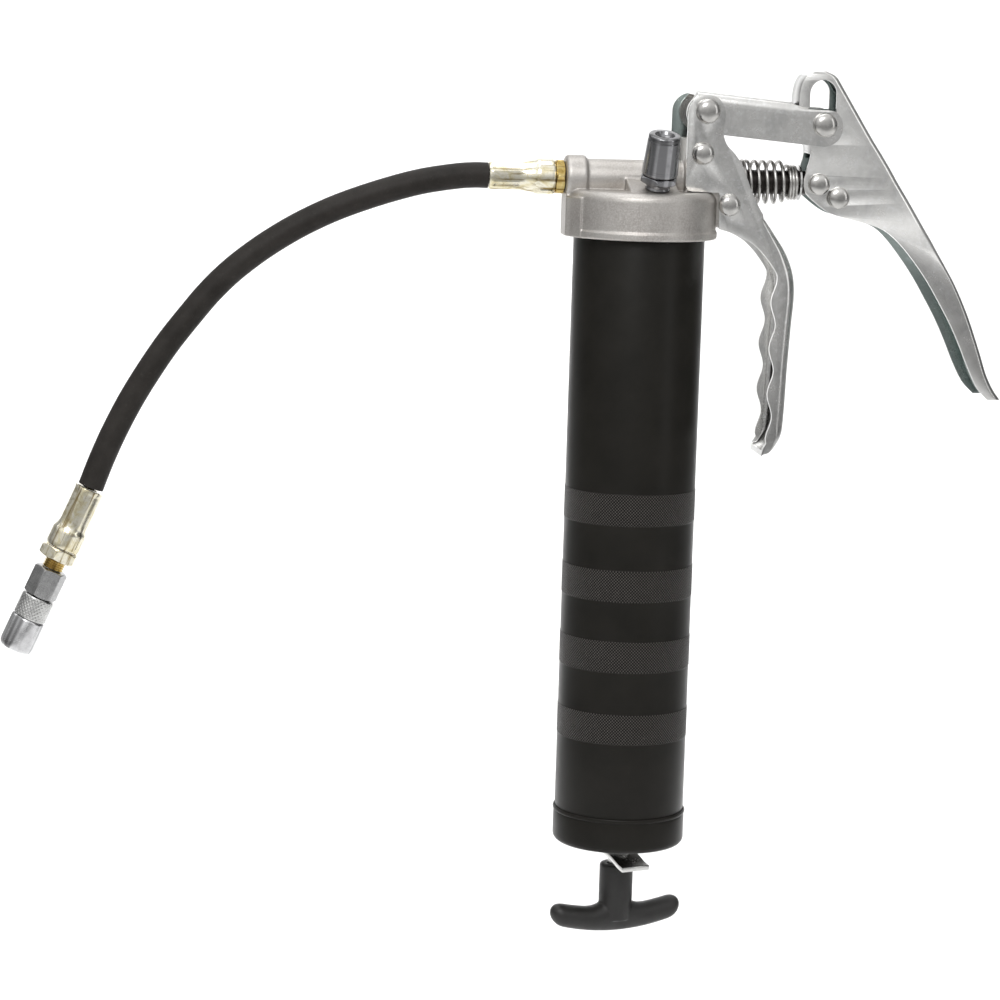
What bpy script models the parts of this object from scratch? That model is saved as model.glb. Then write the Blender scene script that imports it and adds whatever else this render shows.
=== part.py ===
"""Pistol grease gun: a barrel with a cast pump head, a stamped grip bracket, a squeeze lever on a
link, a hose with a coupler, and a spring-loaded follower with a T-handle.

Blender 4.5, metres, +Z up.  The named sizes below are millimetres; MM turns them into metres.
The origin is on the barrel's axis, at the middle of the knurled part that a hand holds.
+X points to the grip and the lever, -X to the hose, and the filler leans out to -Y.
"""
import math

import bmesh
import bpy
from mathutils import Matrix, Vector

MM = 0.001

# ---------------------------------------------------------------- driving dimensions, millimetres
BARREL_R = 28.25              # outside of the tube, for a 400 g cartridge
BARREL_WALL = 1.2
HEAD_EDGE_Z = 163.0           # lower edge of the cast head
HEAD_HEIGHT = 20.0
HEAD_R = 33.3
HEAD_SOCKET_DEPTH = 12.0
CAP_RIM_Z = -87.5
CAP_HEIGHT = 15.5
CAP_R = 29.1
CAP_DISH = 1.6                # the middle of the cap stands this much lower
PUMP_Z = 187.7                # height of the pump's axis
PUMP_BORE_R = 5.5
PLUNGER_R = 5.15
BRACKET_W = 26.0              # outside width of the stamped bracket
BRACKET_T = 2.0
LINK_W = 21.2
LINK_T = 1.8
LEVER_HEAD_W = 17.0
LEVER_T = 1.8
HOSE_R = 5.5
ROD_R = 3.95
PIN_R = 3.0
PIN_HOLE_R = 3.3
DOME_R = 4.7
DOME_H = 2.7
GAP = 0.3                     # clearance left between neighbouring pieces

# pins of the linkage: (x, z above the pump's axis)
LINK_PIVOT = (25.3, 29.0)
FULCRUM = (76.6, 24.4)
PLUNGER_PIN = (75.9, 0.0)
LEVER_RIVET = (84.6, -5.6)
BRACKET_UPPER = (24.2, 12.1)
BRACKET_LOWER = (36.4, -9.6)

# the hose's run, from the near ferrule to the far one: (x, z above the pump's axis), in the plane y = 0
HOSE_ROUTE = (
    (-66.3, 0.0), (-72.0, 0.0), (-80.0, -0.7), (-95.2, -3.4), (-112.0, -8.3), (-129.1, -14.6), (-143.0, -21.2),
    (-154.3, -27.8), (-165.0, -35.2), (-175.2, -43.6), (-184.0, -52.6), (-191.8, -62.2),
    (-200.5, -73.6), (-208.3, -85.4), (-216.0, -98.4), (-222.8, -111.9), (-228.2, -124.4),
    (-232.7, -136.4),
)
FAR_START = (-233.0, -137.1)
FAR_AXIS = Vector((-0.409, 0.0, -0.912)).normalized()

# the T-handle's arms are turned this far about the rod
HANDLE_YAW = math.radians(16.0)


# ---------------------------------------------------------------- materials
def material(name, colour, roughness, metallic):
    mat = bpy.data.materials.new(name)
    mat.use_nodes = True
    shader = mat.node_tree.nodes["Principled BSDF"]
    shader.inputs["Base Color"].default_value = (*colour, 1.0)
    shader.inputs["Roughness"].default_value = roughness
    shader.inputs["Metallic"].default_value = metallic
    return mat


ZINC = ((0.56, 0.55, 0.52), 0.34, 1.0)
CAST = ((0.52, 0.50, 0.46), 0.55, 0.6)
BLACK_PAINT = ((0.02, 0.018, 0.016), 0.35, 0.0)
BLACK_PLASTIC = ((0.022, 0.021, 0.020), 0.5, 0.0)
BLACK_STEEL = ((0.03, 0.028, 0.026), 0.4, 0.8)
RUBBER = ((0.03, 0.028, 0.026), 0.75, 0.0)
YELLOW_ZINC = ((0.50, 0.42, 0.24), 0.35, 1.0)
STEEL = ((0.60, 0.60, 0.60), 0.28, 1.0)


# ---------------------------------------------------------------- building blocks
def add_object(name, data, finish, origin=(0, 0, 0), parent=None):
    """Link data as an object at origin (mm, world), under a parent empty if there is one."""
    obj = bpy.data.objects.new(name, data)
    bpy.context.collection.objects.link(obj)
    location = Vector(origin) * MM
    if parent is not None:
        obj.parent = parent
        location = location - parent.location
    obj.location = location
    if finish is not None:
        obj.data.materials.append(material(name, *finish))
    return obj


def add_mesh(name, mesh, finish, origin=(0, 0, 0), parent=None, smooth=True):
    """Turn a bmesh in millimetres, drawn about origin, into an object."""
    bmesh.ops.recalc_face_normals(mesh, faces=mesh.faces)
    bmesh.ops.scale(mesh, vec=(MM, MM, MM), verts=mesh.verts)
    data = bpy.data.meshes.new(name)
    mesh.to_mesh(data)
    mesh.free()
    if smooth:
        data.shade_smooth()
        data.set_sharp_from_angle(angle=math.radians(35))
    return add_object(name, data, finish, origin, parent)


def add_pivot(name, x, z):
    """An empty on a joint's axis; z is counted from the pump's axis."""
    pivot = bpy.data.objects.new(name, None)
    bpy.context.collection.objects.link(pivot)
    pivot.location = Vector((x, 0, PUMP_Z + z)) * MM
    return pivot


def rings_to_faces(mesh, rings, closed):
    """Skin a list of rings of vertices; a ring of one vertex is a pole."""
    pairs = list(zip(rings, rings[1:]))
    if closed:
        pairs.append((rings[-1], rings[0]))
    for low, high in pairs:
        count = max(len(low), len(high))
        for i in range(count):
            j = (i + 1) % count
            if len(low) == 1:
                mesh.faces.new((low[0], high[j], high[i]))
            elif len(high) == 1:
                mesh.faces.new((low[i], low[j], high[0]))
            else:
                mesh.faces.new((low[i], low[j], high[j], high[i]))


def turned_mesh(profile, segments, direction=(0, 0, 1), offset=(0, 0, 0)):
    """Turn a closed (radius, height) profile about direction; it may start and end on the axis."""
    mesh = bmesh.new()
    turn = Vector(direction).to_track_quat("Z", "Y").to_matrix()
    shift = Vector(offset)
    rings = []
    for radius, height in profile:
        if radius == 0:
            points = [Vector((0, 0, height))]
        else:
            angles = [2 * math.pi * i / segments for i in range(segments)]
            points = [Vector((radius * math.cos(a), radius * math.sin(a), height)) for a in angles]
        rings.append([mesh.verts.new(turn @ p + shift) for p in points])
    rings_to_faces(mesh, rings, closed=profile[0][0] != 0)
    return mesh


def turned(name, profile, finish, origin, direction=(0, 0, 1), segments=32, parent=None):
    return add_mesh(name, turned_mesh(profile, segments, direction), finish, origin, parent)


def prism_mesh(outline, low, high):
    """An outline of (x, z) points, extruded along Y from low to high."""
    mesh = bmesh.new()
    sides = []
    for y in (low, high):
        sides.append([mesh.verts.new((x, y, z)) for x, z in outline])
    mesh.faces.new(sides[0])
    mesh.faces.new(sides[1])
    for i in range(len(outline)):
        j = (i + 1) % len(outline)
        mesh.faces.new((sides[0][i], sides[0][j], sides[1][j], sides[1][i]))
    return mesh


def loft_mesh(sections):
    """Skin closed sections, each a list of as many points, and cap both ends."""
    mesh = bmesh.new()
    rings = [[mesh.verts.new(p) for p in section] for section in sections]
    rings_to_faces(mesh, rings, closed=False)
    mesh.faces.new(rings[0])
    mesh.faces.new(rings[-1])
    return mesh


def rounded_prism(outline, rounded, half_width, radius, steps):
    """Extrude a clockwise (x, z) outline to y = +-half_width; the long edges through the points
    whose numbers are in rounded get round corners."""
    count = len(outline)
    normals = []
    for i in range(count):
        run = Vector(outline[(i + 1) % count]) - Vector(outline[i - 1])
        run.normalize()
        normals.append(Vector((run.y, -run.x)) if i in rounded else Vector((0, 0)))
    turns = [math.pi / 2 * i / steps for i in range(steps + 1)]
    levels = [(half_width - radius * (1 - math.sin(a)), radius * (1 - math.cos(a))) for a in turns]
    sections = []
    for y, inset in [(-y, inset) for y, inset in reversed(levels)] + levels:
        sections.append([Vector((p[0] + n.x * inset, y, p[1] + n.y * inset))
                         for p, n in zip(outline, normals)])
    return loft_mesh(sections)


def boolean(target, operation, tool):
    """Join or cut target with a tool object, which the model then leaves out."""
    tool.hide_render = True
    tool.display_type = "WIRE"
    modifier = target.modifiers.new(tool.name, "BOOLEAN")
    modifier.operation = operation
    modifier.object = tool


def cut_round(target, name, radius, start, end, segments=16):
    """Cut a round hole between two points (mm, world)."""
    start = Vector(start)
    along = Vector(end) - start
    profile = ((0, 0), (radius, 0), (radius, along.length), (0, along.length))
    mesh = turned_mesh(profile, segments, along)
    boolean(target, "DIFFERENCE", add_mesh(name, mesh, None, start))


def cut_pin_hole(target, name, pin, radius=PIN_HOLE_R):
    """Cut a hole along Y, right through, where a pin of the linkage passes."""
    x, z = pin
    cut_round(target, name, radius, (x, -30, PUMP_Z + z), (x, 30, PUMP_Z + z))


def smooth_line(points, steps):
    """Points on a smooth curve through the given ones, with steps to each stretch."""
    points = [Vector(p) for p in points]
    padded = [2 * points[0] - points[1], *points, 2 * points[-1] - points[-2]]
    line = []
    for before, start, end, after in zip(padded, padded[1:], padded[2:], padded[3:]):
        for step in range(steps):
            t = step / steps
            line.append(0.5 * (2 * start + (end - before) * t
                               + (2 * before - 5 * start + 4 * end - after) * t ** 2
                               + (3 * start - 3 * end + after - before) * t ** 3))
    return line + [points[-1]]


def arc(centre, radius, start, end, steps):
    """Points on an arc from start to end, in degrees, as (x, z)."""
    angles = [math.radians(start + (end - start) * i / steps) for i in range(steps + 1)]
    return [(centre[0] + radius * math.cos(a), centre[1] + radius * math.sin(a)) for a in angles]


def offset_line(line, distance):
    """Move an open line of (x, z) points sideways, to the right of its run."""
    moved = []
    for i, point in enumerate(line):
        run = Vector(line[min(i + 1, len(line) - 1)]) - Vector(line[max(i - 1, 0)])
        run.normalize()
        moved.append((point[0] + run.y * distance, point[1] - run.x * distance))
    return moved


def lifted(line):
    """Outline points counted from the pump's axis, as world heights."""
    return [(p[0], p[1] + PUMP_Z) for p in line]


def domed_pin(name, pin, width, parent=None):
    """A rivet along Y with a dome on both sides of a stack of plates of this width."""
    half = width / 2 + GAP
    dome = [(DOME_R * math.cos(a), half + 0.5 + (DOME_H - 0.5) * math.sin(a))
            for a in (math.radians(d) for d in (0, 35, 65))]
    upper = [(PIN_R, half), (DOME_R, half), *dome, (0, half + DOME_H)]
    lower = [(r, -h) for r, h in reversed(upper)]
    turned(name, [*lower, *upper], STEEL, (pin[0], 0, PUMP_Z + pin[1]), (0, 1, 0), 16, parent)


def helix(name, finish, origin, axis_turn, turns, steps, wire_r, radius_at, along_at, sides=1):
    """A coil of wire about the local Z axis; radius_at and along_at take 0 to 1.
    sides is the wire's bevel resolution."""
    curve = bpy.data.curves.new(name, "CURVE")
    curve.dimensions = "3D"
    curve.bevel_depth = wire_r * MM
    curve.bevel_resolution = sides
    curve.use_fill_caps = True
    count = int(turns * steps) + 1
    spline = curve.splines.new("POLY")
    spline.points.add(count - 1)
    for i in range(count):
        share = i / (count - 1)
        angle = 2 * math.pi * turns * share
        radius = radius_at(share)
        point = Vector((radius * math.cos(angle), radius * math.sin(angle), along_at(share)))
        spline.points[i].co = (*(axis_turn @ point * MM), 1.0)
    return add_object(name, curve, finish, origin)


# ---------------------------------------------------------------- barrel, cap and gasket
def make_barrel():
    top = HEAD_EDGE_Z + HEAD_SOCKET_DEPTH - 2.5
    bottom = CAP_RIM_Z - CAP_HEIGHT + 2.0
    inner = BARREL_R - BARREL_WALL
    tube = ((BARREL_R, bottom), (BARREL_R, top), (inner, top), (inner, bottom))
    turned("barrel_tube", tube, BLACK_PAINT, (0, 0, 0), segments=48)

    gasket = ((BARREL_R, top + GAP), (BARREL_R, top + 2.2), (inner, top + 2.2), (inner, top + GAP))
    turned("head_gasket", gasket, RUBBER, (0, 0, 0), segments=32)


def make_end_cap():
    bottom = CAP_RIM_Z - CAP_HEIGHT
    inner = BARREL_R + GAP
    hole = ROD_R + 2.4
    profile = (
        (CAP_R - 0.2, CAP_RIM_Z), (CAP_R, CAP_RIM_Z - 0.8), (CAP_R - 0.35, CAP_RIM_Z - 2.4),
        (CAP_R - 0.35, bottom + 2.8), (CAP_R - 1.2, bottom + 0.8), (CAP_R - 3.2, bottom),
        (12.0, bottom - CAP_DISH), (hole, bottom - CAP_DISH), (hole, bottom + 1.5 - CAP_DISH),
        (12.0, bottom + 1.5 - CAP_DISH), (inner, bottom + 1.5), (inner, CAP_RIM_Z),
    )
    turned("end_cap", profile, BLACK_PAINT, (0, 0, 0), segments=48)
    bush_out = hole - GAP
    bush_in = ROD_R + GAP
    low = bottom - CAP_DISH
    bush = (
        (bush_out, low - 0.6), (bush_out, low + 1.8), (bush_out + 2.5, low + 1.8),
        (bush_out + 2.5, low + 3.0), (bush_in, low + 3.0), (bush_in, low - 0.6),
    )
    turned("rod_bushing", bush, STEEL, (0, 0, 0), segments=24)


# ---------------------------------------------------------------- cast pump head
EAR_OUTLINE = (
    (17.6, -10.0), (17.6, 18.0), (29.6, 18.0), (34.2, 13.0), (38.4, 8.6), (41.2, 5.5),
    (41.2, -11.6), (38.6, -17.0), (34.0, -19.2), (26.0, -19.2),
)
EAR_W = BRACKET_W - 2 * BRACKET_T - 2 * GAP
FILLER_BASE = Vector((3.3, -18.5, HEAD_EDGE_Z + HEAD_HEIGHT + 1.6))
FILLER_AXIS = Vector((0.045, -0.30, 0.953)).normalized()
# seen from above: the lug under the outlet, and the sloped seat under the filler
LUG_OUTLINE = (
    (-33.35, 6.6), (-33.35, -6.6), (-31.9, -11.5), (-28.4, -18.3), (-20.0, -14.0), (-20.0, 14.0),
    (-28.4, 18.3), (-31.9, 11.5),
)
PLINTH_OUTLINE = ((-3.0, -24.4), (12.4, -24.4), (15.2, -20.8), (15.2, -6.2), (-3.0, -6.2))


def make_pump_head():
    top = HEAD_EDGE_Z + HEAD_HEIGHT
    skirt = (
        (0, HEAD_EDGE_Z + 1.2), (HEAD_R - 1.0, HEAD_EDGE_Z), (HEAD_R, HEAD_EDGE_Z + 1.0),
        (HEAD_R, HEAD_EDGE_Z + 5.0), (HEAD_R - 0.4, HEAD_EDGE_Z + 6.0), (HEAD_R - 0.4, top - 3.2),
        (HEAD_R - 1.4, top - 1.0), (HEAD_R - 3.6, top), (0, top),
    )
    head = turned("pump_head", skirt, CAST, (0, 0, 0), segments=48)

    body = (
        (0, 33.3), (7.9, 33.3), (9.7, 31.6), (9.7, 25.0), (8.1, 24.0), (8.1, -30.0), (0, -30.0),
    )
    boolean(head, "UNION", turned("head_pump_body", body, None, (0, 0, PUMP_Z), (-1, 0, 0), 28))
    ear = prism_mesh(lifted(EAR_OUTLINE), -EAR_W / 2, EAR_W / 2)
    boolean(head, "UNION", add_mesh("head_ear", ear, None))
    levels = (HEAD_EDGE_Z + 1.4, PUMP_Z - 7.4)
    lug = loft_mesh([[Vector((x, y, z)) for x, y in LUG_OUTLINE] for z in levels])
    boolean(head, "UNION", add_mesh("head_lug", lug, None))
    seat = FILLER_BASE - FILLER_AXIS * 0.45
    plinth = [[Vector((x, y, top - 2.5)) for x, y in PLINTH_OUTLINE], []]
    for x, y in PLINTH_OUTLINE:
        drop = FILLER_AXIS.x * (x - seat.x) + FILLER_AXIS.y * (y - seat.y)
        plinth[1].append(Vector((x, y, seat.z - drop / FILLER_AXIS.z)))
    boolean(head, "UNION", add_mesh("head_plinth", loft_mesh(plinth), None))

    pad = ((0, -6.5), (6.2, -6.5), (6.2, -0.4), (5.8, 0), (0, 0))
    boolean(head, "UNION", turned("head_filler_pad", pad, None, FILLER_BASE, FILLER_AXIS, 26))

    socket = (
        (0, HEAD_EDGE_Z - 5), (BARREL_R + GAP, HEAD_EDGE_Z - 5),
        (BARREL_R + GAP, HEAD_EDGE_Z + HEAD_SOCKET_DEPTH), (0, HEAD_EDGE_Z + HEAD_SOCKET_DEPTH),
    )
    boolean(head, "DIFFERENCE", turned("head_socket", socket, None, (0, 0, 0), segments=40))
    bore = (
        (0, -41), (6.2, -41), (6.2, -24), (4.6, -23.4), (4.6, -12.6), (2.2, -12), (2.2, -9),
        (PUMP_BORE_R, -8), (PUMP_BORE_R, 50), (0, 50),
    )
    boolean(head, "DIFFERENCE", turned("head_bore", bore, None, (0, 0, PUMP_Z), (1, 0, 0), 22))
    cut_round(head, "head_feed", 2.5, (2, 0, PUMP_Z - 20), (2, 0, PUMP_Z - 1), 14)
    cut_pin_hole(head, "head_hole_upper", BRACKET_UPPER)
    cut_pin_hole(head, "head_hole_lower", BRACKET_LOWER)
    port = FILLER_BASE - FILLER_AXIS * 6.0
    cut_round(head, "head_filler_port", 4.4, port, FILLER_BASE + FILLER_AXIS * 3.0, 20)


# ---------------------------------------------------------------- filler nipple
def make_filler():
    hexagon = (
        (2.0, -5.0), (4.0, -5.0), (4.0, GAP), (5.2, GAP), (5.2, 1.8), (7.6, 2.0), (8.6, 2.8),
        (8.6, 5.6), (7.6, 6.3), (2.0, 6.3),
    )
    turned("filler_hex", hexagon, STEEL, FILLER_BASE, FILLER_AXIS, 6)
    cone = (
        (3.4, 7.7), (3.4, 20.0), (2.5, 21.5), (2.5, 22.5), (3.6, 23.1), (3.6, 24.5),
        (6.6, 24.5), (7.0, 24.1), (7.75, 7.3), (7.3, 6.6), (2.0, 6.6), (2.0, 7.7),
    )
    turned("filler_body", cone, STEEL, FILLER_BASE, FILLER_AXIS, 20)
    pivot = bpy.data.objects.new("filler_ball_slide", None)
    bpy.context.collection.objects.link(pivot)
    ball_centre = FILLER_BASE + FILLER_AXIS * 19.4
    pivot.location = ball_centre * MM
    ball = ball_profile(2.9, 6)
    turned("filler_ball", ball, STEEL, ball_centre, FILLER_AXIS, 16, pivot)
    to_axis = FILLER_AXIS.to_track_quat("Z", "Y").to_matrix()
    helix("filler_spring", STEEL, FILLER_BASE, to_axis, 4, 8, 0.35,
          lambda t: 2.2, lambda t: 8.4 + 7.2 * t, 0)


def ball_profile(radius, steps):
    angles = [math.pi * i / steps for i in range(steps + 1)]
    heights = [(radius * math.sin(a), -radius * math.cos(a)) for a in angles]
    return [(0, -radius), *heights[1:-1], (0, radius)]


# ---------------------------------------------------------------- grip bracket and its rivets
GRIP_OUTER = (
    (33.2, 26.5), (32.7, 21.0), (34.3, 16.2), (38.0, 12.2), (41.6, 7.2), (43.8, 1.8), (46.2, -4.0),
    (50.4, -12.0), (56.6, -20.8), (62.6, -29.8), (66.1, -38.8), (67.1, -48.5), (66.3, -62.0),
    (65.4, -80.0), (64.8, -98.0), (64.0, -108.0), (60.9, -114.0), (55.6, -117.2), (51.2, -116.6),
)
GRIP_HEEL = (
    (57.6, -37.4), (55.2, -34.0), (51.5, -29.6), (46.6, -25.4), (39.4, -22.0), (32.6, -20.0),
    (32.1, -18.6), (32.1, -5.4), (31.4, -4.4), (20.0, -4.2), (18.0, -3.4), (17.2, -1.6),
)
WEB_TOP = -12.6
FINGER_PITCH = 19.9
FINGER_DEPTH = 1.15
FINGER_X = 57.5
FINGER_NOTCH_Z = -40.8
FAR_PLATE_STEP = 3.0          # the far plate reaches this much further towards the hose


def finger_edge(count):
    """The scalloped free edge that the fingers hold, from the bottom of the grip up."""
    low, high = -110.5, -39.0
    edge = []
    for i in range(count + 1):
        z = low + (high - low) * i / count
        phase = 2 * math.pi * (z - FINGER_NOTCH_Z) / FINGER_PITCH
        edge.append((FINGER_X + FINGER_DEPTH * math.cos(phase), z))
    return edge


def make_grip_bracket():
    outer = [tuple(p) for p in smooth_line(GRIP_OUTER, 2)]
    lobe = arc(LINK_PIVOT, 8.0, 180, 0, 10)
    outline = [*lobe, *outer, (52.4, -113.2), *finger_edge(22), *GRIP_HEEL]
    on_web = [i for i, p in enumerate(outline) if p in outer and p[1] < WEB_TOP - 2]
    mesh = rounded_prism(lifted(outline), on_web, BRACKET_W / 2, 3.0, 2)
    for vert in mesh.verts:
        if vert.co.y > 0 and vert.co.x < LINK_PIVOT[0]:
            vert.co.x -= FAR_PLATE_STEP
    bracket = add_mesh("grip_bracket", mesh, ZINC)

    web = offset_line([p for p in outer if p[1] < WEB_TOP], BRACKET_T)
    web[-1] = (46.0, web[-1][1])
    channel = [(0, 60), (90, 60), (90, WEB_TOP), (web[0][0], WEB_TOP), *web[1:], (0, -114)]
    on_web = range(4, len(channel) - 1)
    half = BRACKET_W / 2 - BRACKET_T
    mesh = rounded_prism(lifted(channel), on_web, half, 1.2, 2)
    boolean(bracket, "DIFFERENCE", add_mesh("bracket_channel", mesh, None))
    for name, pin in (("pivot", LINK_PIVOT), ("upper", BRACKET_UPPER), ("lower", BRACKET_LOWER)):
        cut_pin_hole(bracket, "bracket_hole_" + name, pin)
    domed_pin("bracket_rivet_upper", BRACKET_UPPER, BRACKET_W)
    domed_pin("bracket_rivet_lower", BRACKET_LOWER, BRACKET_W)
    domed_pin("link_pivot_rivet", LINK_PIVOT, BRACKET_W)


# ---------------------------------------------------------------- link
LINK_DOWN = 8.3               # from the pin line to the flanges' lower edges
LINK_UP = 9.0                 # from the pin line to the top of the web
LINK_BEND = 4.0
WEB_START = -6.4              # the web's ends, counted from the pivot along the link
WEB_END = 37.0


def make_link(pivot):
    start = Vector(LINK_PIVOT)
    length = (Vector(FULCRUM) - start).length
    slope = math.atan2(FULCRUM[1] - LINK_PIVOT[1], FULCRUM[0] - LINK_PIVOT[0])
    turn = Matrix.Rotation(-slope, 3, "Y")

    start_round = arc((0, 0), LINK_DOWN, 270, 140, 10)
    top = [(WEB_START, LINK_UP), (WEB_END, LINK_UP)]
    end_round = arc((length, 0), LINK_DOWN, 80, -90, 12)
    outline = [*start_round, *top, (WEB_END + 4.4, LINK_UP - 1.6), *end_round]
    on_top = [outline.index(p) for p in top]
    mesh = rounded_prism(outline, on_top, LINK_W / 2, LINK_BEND, 4)
    bmesh.ops.rotate(mesh, matrix=turn, verts=mesh.verts)
    origin = (LINK_PIVOT[0], 0, PUMP_Z + LINK_PIVOT[1])
    link = add_mesh("lever_link", mesh, ZINC, origin, pivot)

    half = LINK_W / 2 - LINK_T
    roof = LINK_UP - LINK_T
    channel = [(-30, -30), (-30, roof), (WEB_START - 0.5, roof), (WEB_END, roof), (WEB_END, 30),
               (90, 30), (90, -30)]
    mesh = rounded_prism(channel, (1, 2), half, LINK_BEND - LINK_T, 3)
    bmesh.ops.rotate(mesh, matrix=turn, verts=mesh.verts)
    boolean(link, "DIFFERENCE", add_mesh("link_channel", mesh, None, origin))
    cut_pin_hole(link, "link_hole_pivot", LINK_PIVOT)
    cut_pin_hole(link, "link_hole_fulcrum", FULCRUM)

    domed_pin("fulcrum_pin", FULCRUM, LINK_W, pivot)
    roller = ((5.2, -7.9), (5.2, 7.9), (PIN_HOLE_R, 7.9), (PIN_HOLE_R, -7.9))
    turned("fulcrum_roller", roller, STEEL, (FULCRUM[0], 0, PUMP_Z + FULCRUM[1]), (0, 1, 0), 24, pivot)


# ---------------------------------------------------------------- squeeze lever
# rows down the lever: inner edge (x, z), spine (x, z), outside width
LEVER_ROWS = (
    (72.6, 48.0, 78.2, 48.1, 17.0), (69.0, 46.2, 82.2, 45.9, 17.0), (66.8, 42.6, 85.0, 41.8, 17.0),
    (65.9, 37.5, 88.2, 36.8, 17.0), (66.0, 31.0, 92.0, 30.8, 17.0), (67.6, 24.5, 95.9, 24.6, 17.0),
    (70.6, 18.6, 99.5, 19.0, 17.0), (71.9, 12.6, 103.6, 13.0, 17.0), (70.4, 6.2, 107.6, 6.9, 17.0),
    (69.2, 0.6, 110.9, 1.5, 17.0), (70.4, -4.0, 113.8, -2.9, 17.0), (75.2, -8.4, 116.6, -7.2, 17.4),
    (81.4, -12.4, 119.8, -12.4, 18.4), (88.6, -14.4, 123.0, -17.8, 20.4),
    (96.4, -16.2, 126.2, -23.2, 23.0), (104.6, -19.0, 129.4, -28.9, 25.6),
    (111.0, -24.2, 132.9, -34.9, 27.8), (117.6, -31.8, 136.6, -41.4, 29.2),
    (124.2, -40.8, 140.2, -48.6, 29.8), (130.0, -50.2, 143.6, -56.2, 30.0),
    (135.2, -59.2, 146.8, -64.4, 30.0), (139.6, -68.2, 149.8, -72.6, 30.0),
    (143.8, -77.6, 152.6, -80.4, 29.6), (148.4, -86.2, 156.0, -86.8, 28.4),
    (153.4, -91.4, 159.6, -91.4, 26.6),
)
LOOP_ROWS = 7                 # the loop's rows, which a web closes on both sides
LEVER_BEND = 3.2
SLOT_R = 5.85
SLOT_X = 76.3
SLOT_Z = (22.8, 38.6)


def channel_section(inner, spine, width, bend, steps):
    """A closed U-shaped envelope across the lever, its spine side with two round corners."""
    run = (spine - inner).normalized()
    half = width / 2
    points = [(inner, -half)]
    for i in range(steps + 1):
        angle = math.pi / 2 * i / steps
        points.append((spine - run * bend * (1 - math.sin(angle)), -half + bend * (1 - math.cos(angle))))
    for i in range(steps + 1):
        angle = math.pi / 2 * (1 - i / steps)
        points.append((spine - run * bend * (1 - math.sin(angle)), half - bend * (1 - math.cos(angle))))
    points.append((inner, half))
    return [(p.x, y, p.y + PUMP_Z) for p, y in points]


def make_lever(pivot):
    blank = []
    cavity = []
    for index, (ix, iz, sx, sz, width) in enumerate(LEVER_ROWS):
        inner = Vector((ix, iz))
        spine = Vector((sx, sz))
        run = (spine - inner).normalized()
        blank.append(channel_section(inner, spine, width, LEVER_BEND, 3))
        if index == 0:
            continue
        room = width - 2 * LEVER_T
        wall = inner + run * LEVER_T if index < LOOP_ROWS else inner - run * 4.0
        roof = spine - run * LEVER_T
        if index == 1:
            wall.y -= 0.8
            roof.y -= 0.8
        if index == len(LEVER_ROWS) - 1:
            end = (run.orthogonal() * 6.0)
            cavity.append(channel_section(wall, roof, room, LEVER_BEND - LEVER_T, 3))
            wall = wall - end if end.y > 0 else wall + end
            roof = roof - end if end.y > 0 else roof + end
        cavity.append(channel_section(wall, roof, room, LEVER_BEND - LEVER_T, 3))
    origin = Vector((PLUNGER_PIN[0], 0, PUMP_Z))
    mesh = loft_mesh([[Vector(p) - origin for p in section] for section in blank])
    lever = add_mesh("squeeze_lever", mesh, ZINC, origin, pivot)
    boolean(lever, "DIFFERENCE", add_mesh("lever_channel", loft_mesh(cavity), None))

    slot = arc((SLOT_X, SLOT_Z[1]), SLOT_R, 0, 180, 12) + arc((SLOT_X, SLOT_Z[0]), SLOT_R, 180, 360, 12)
    boolean(lever, "DIFFERENCE", add_mesh("lever_slot", prism_mesh(lifted(slot), -20, 20), None))
    cut_pin_hole(lever, "lever_hole_plunger", PLUNGER_PIN)
    cut_pin_hole(lever, "lever_hole_rivet", LEVER_RIVET)

    domed_pin("plunger_pin", PLUNGER_PIN, LEVER_HEAD_W, pivot)
    domed_pin("lever_rivet", LEVER_RIVET, 17.8, pivot)
    half = LEVER_HEAD_W / 2 - LEVER_T - GAP
    spacer = ((4.2, -half), (4.2, half), (PIN_HOLE_R, half), (PIN_HOLE_R, -half))
    turned("lever_spacer", spacer, STEEL, (LEVER_RIVET[0], 0, PUMP_Z + LEVER_RIVET[1]), (0, 1, 0), 20,
           pivot)


# ---------------------------------------------------------------- plunger, return spring and valve
SPRING_START = 42.2
SPRING_END = 67.6
EAR_END = 41.2


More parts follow.
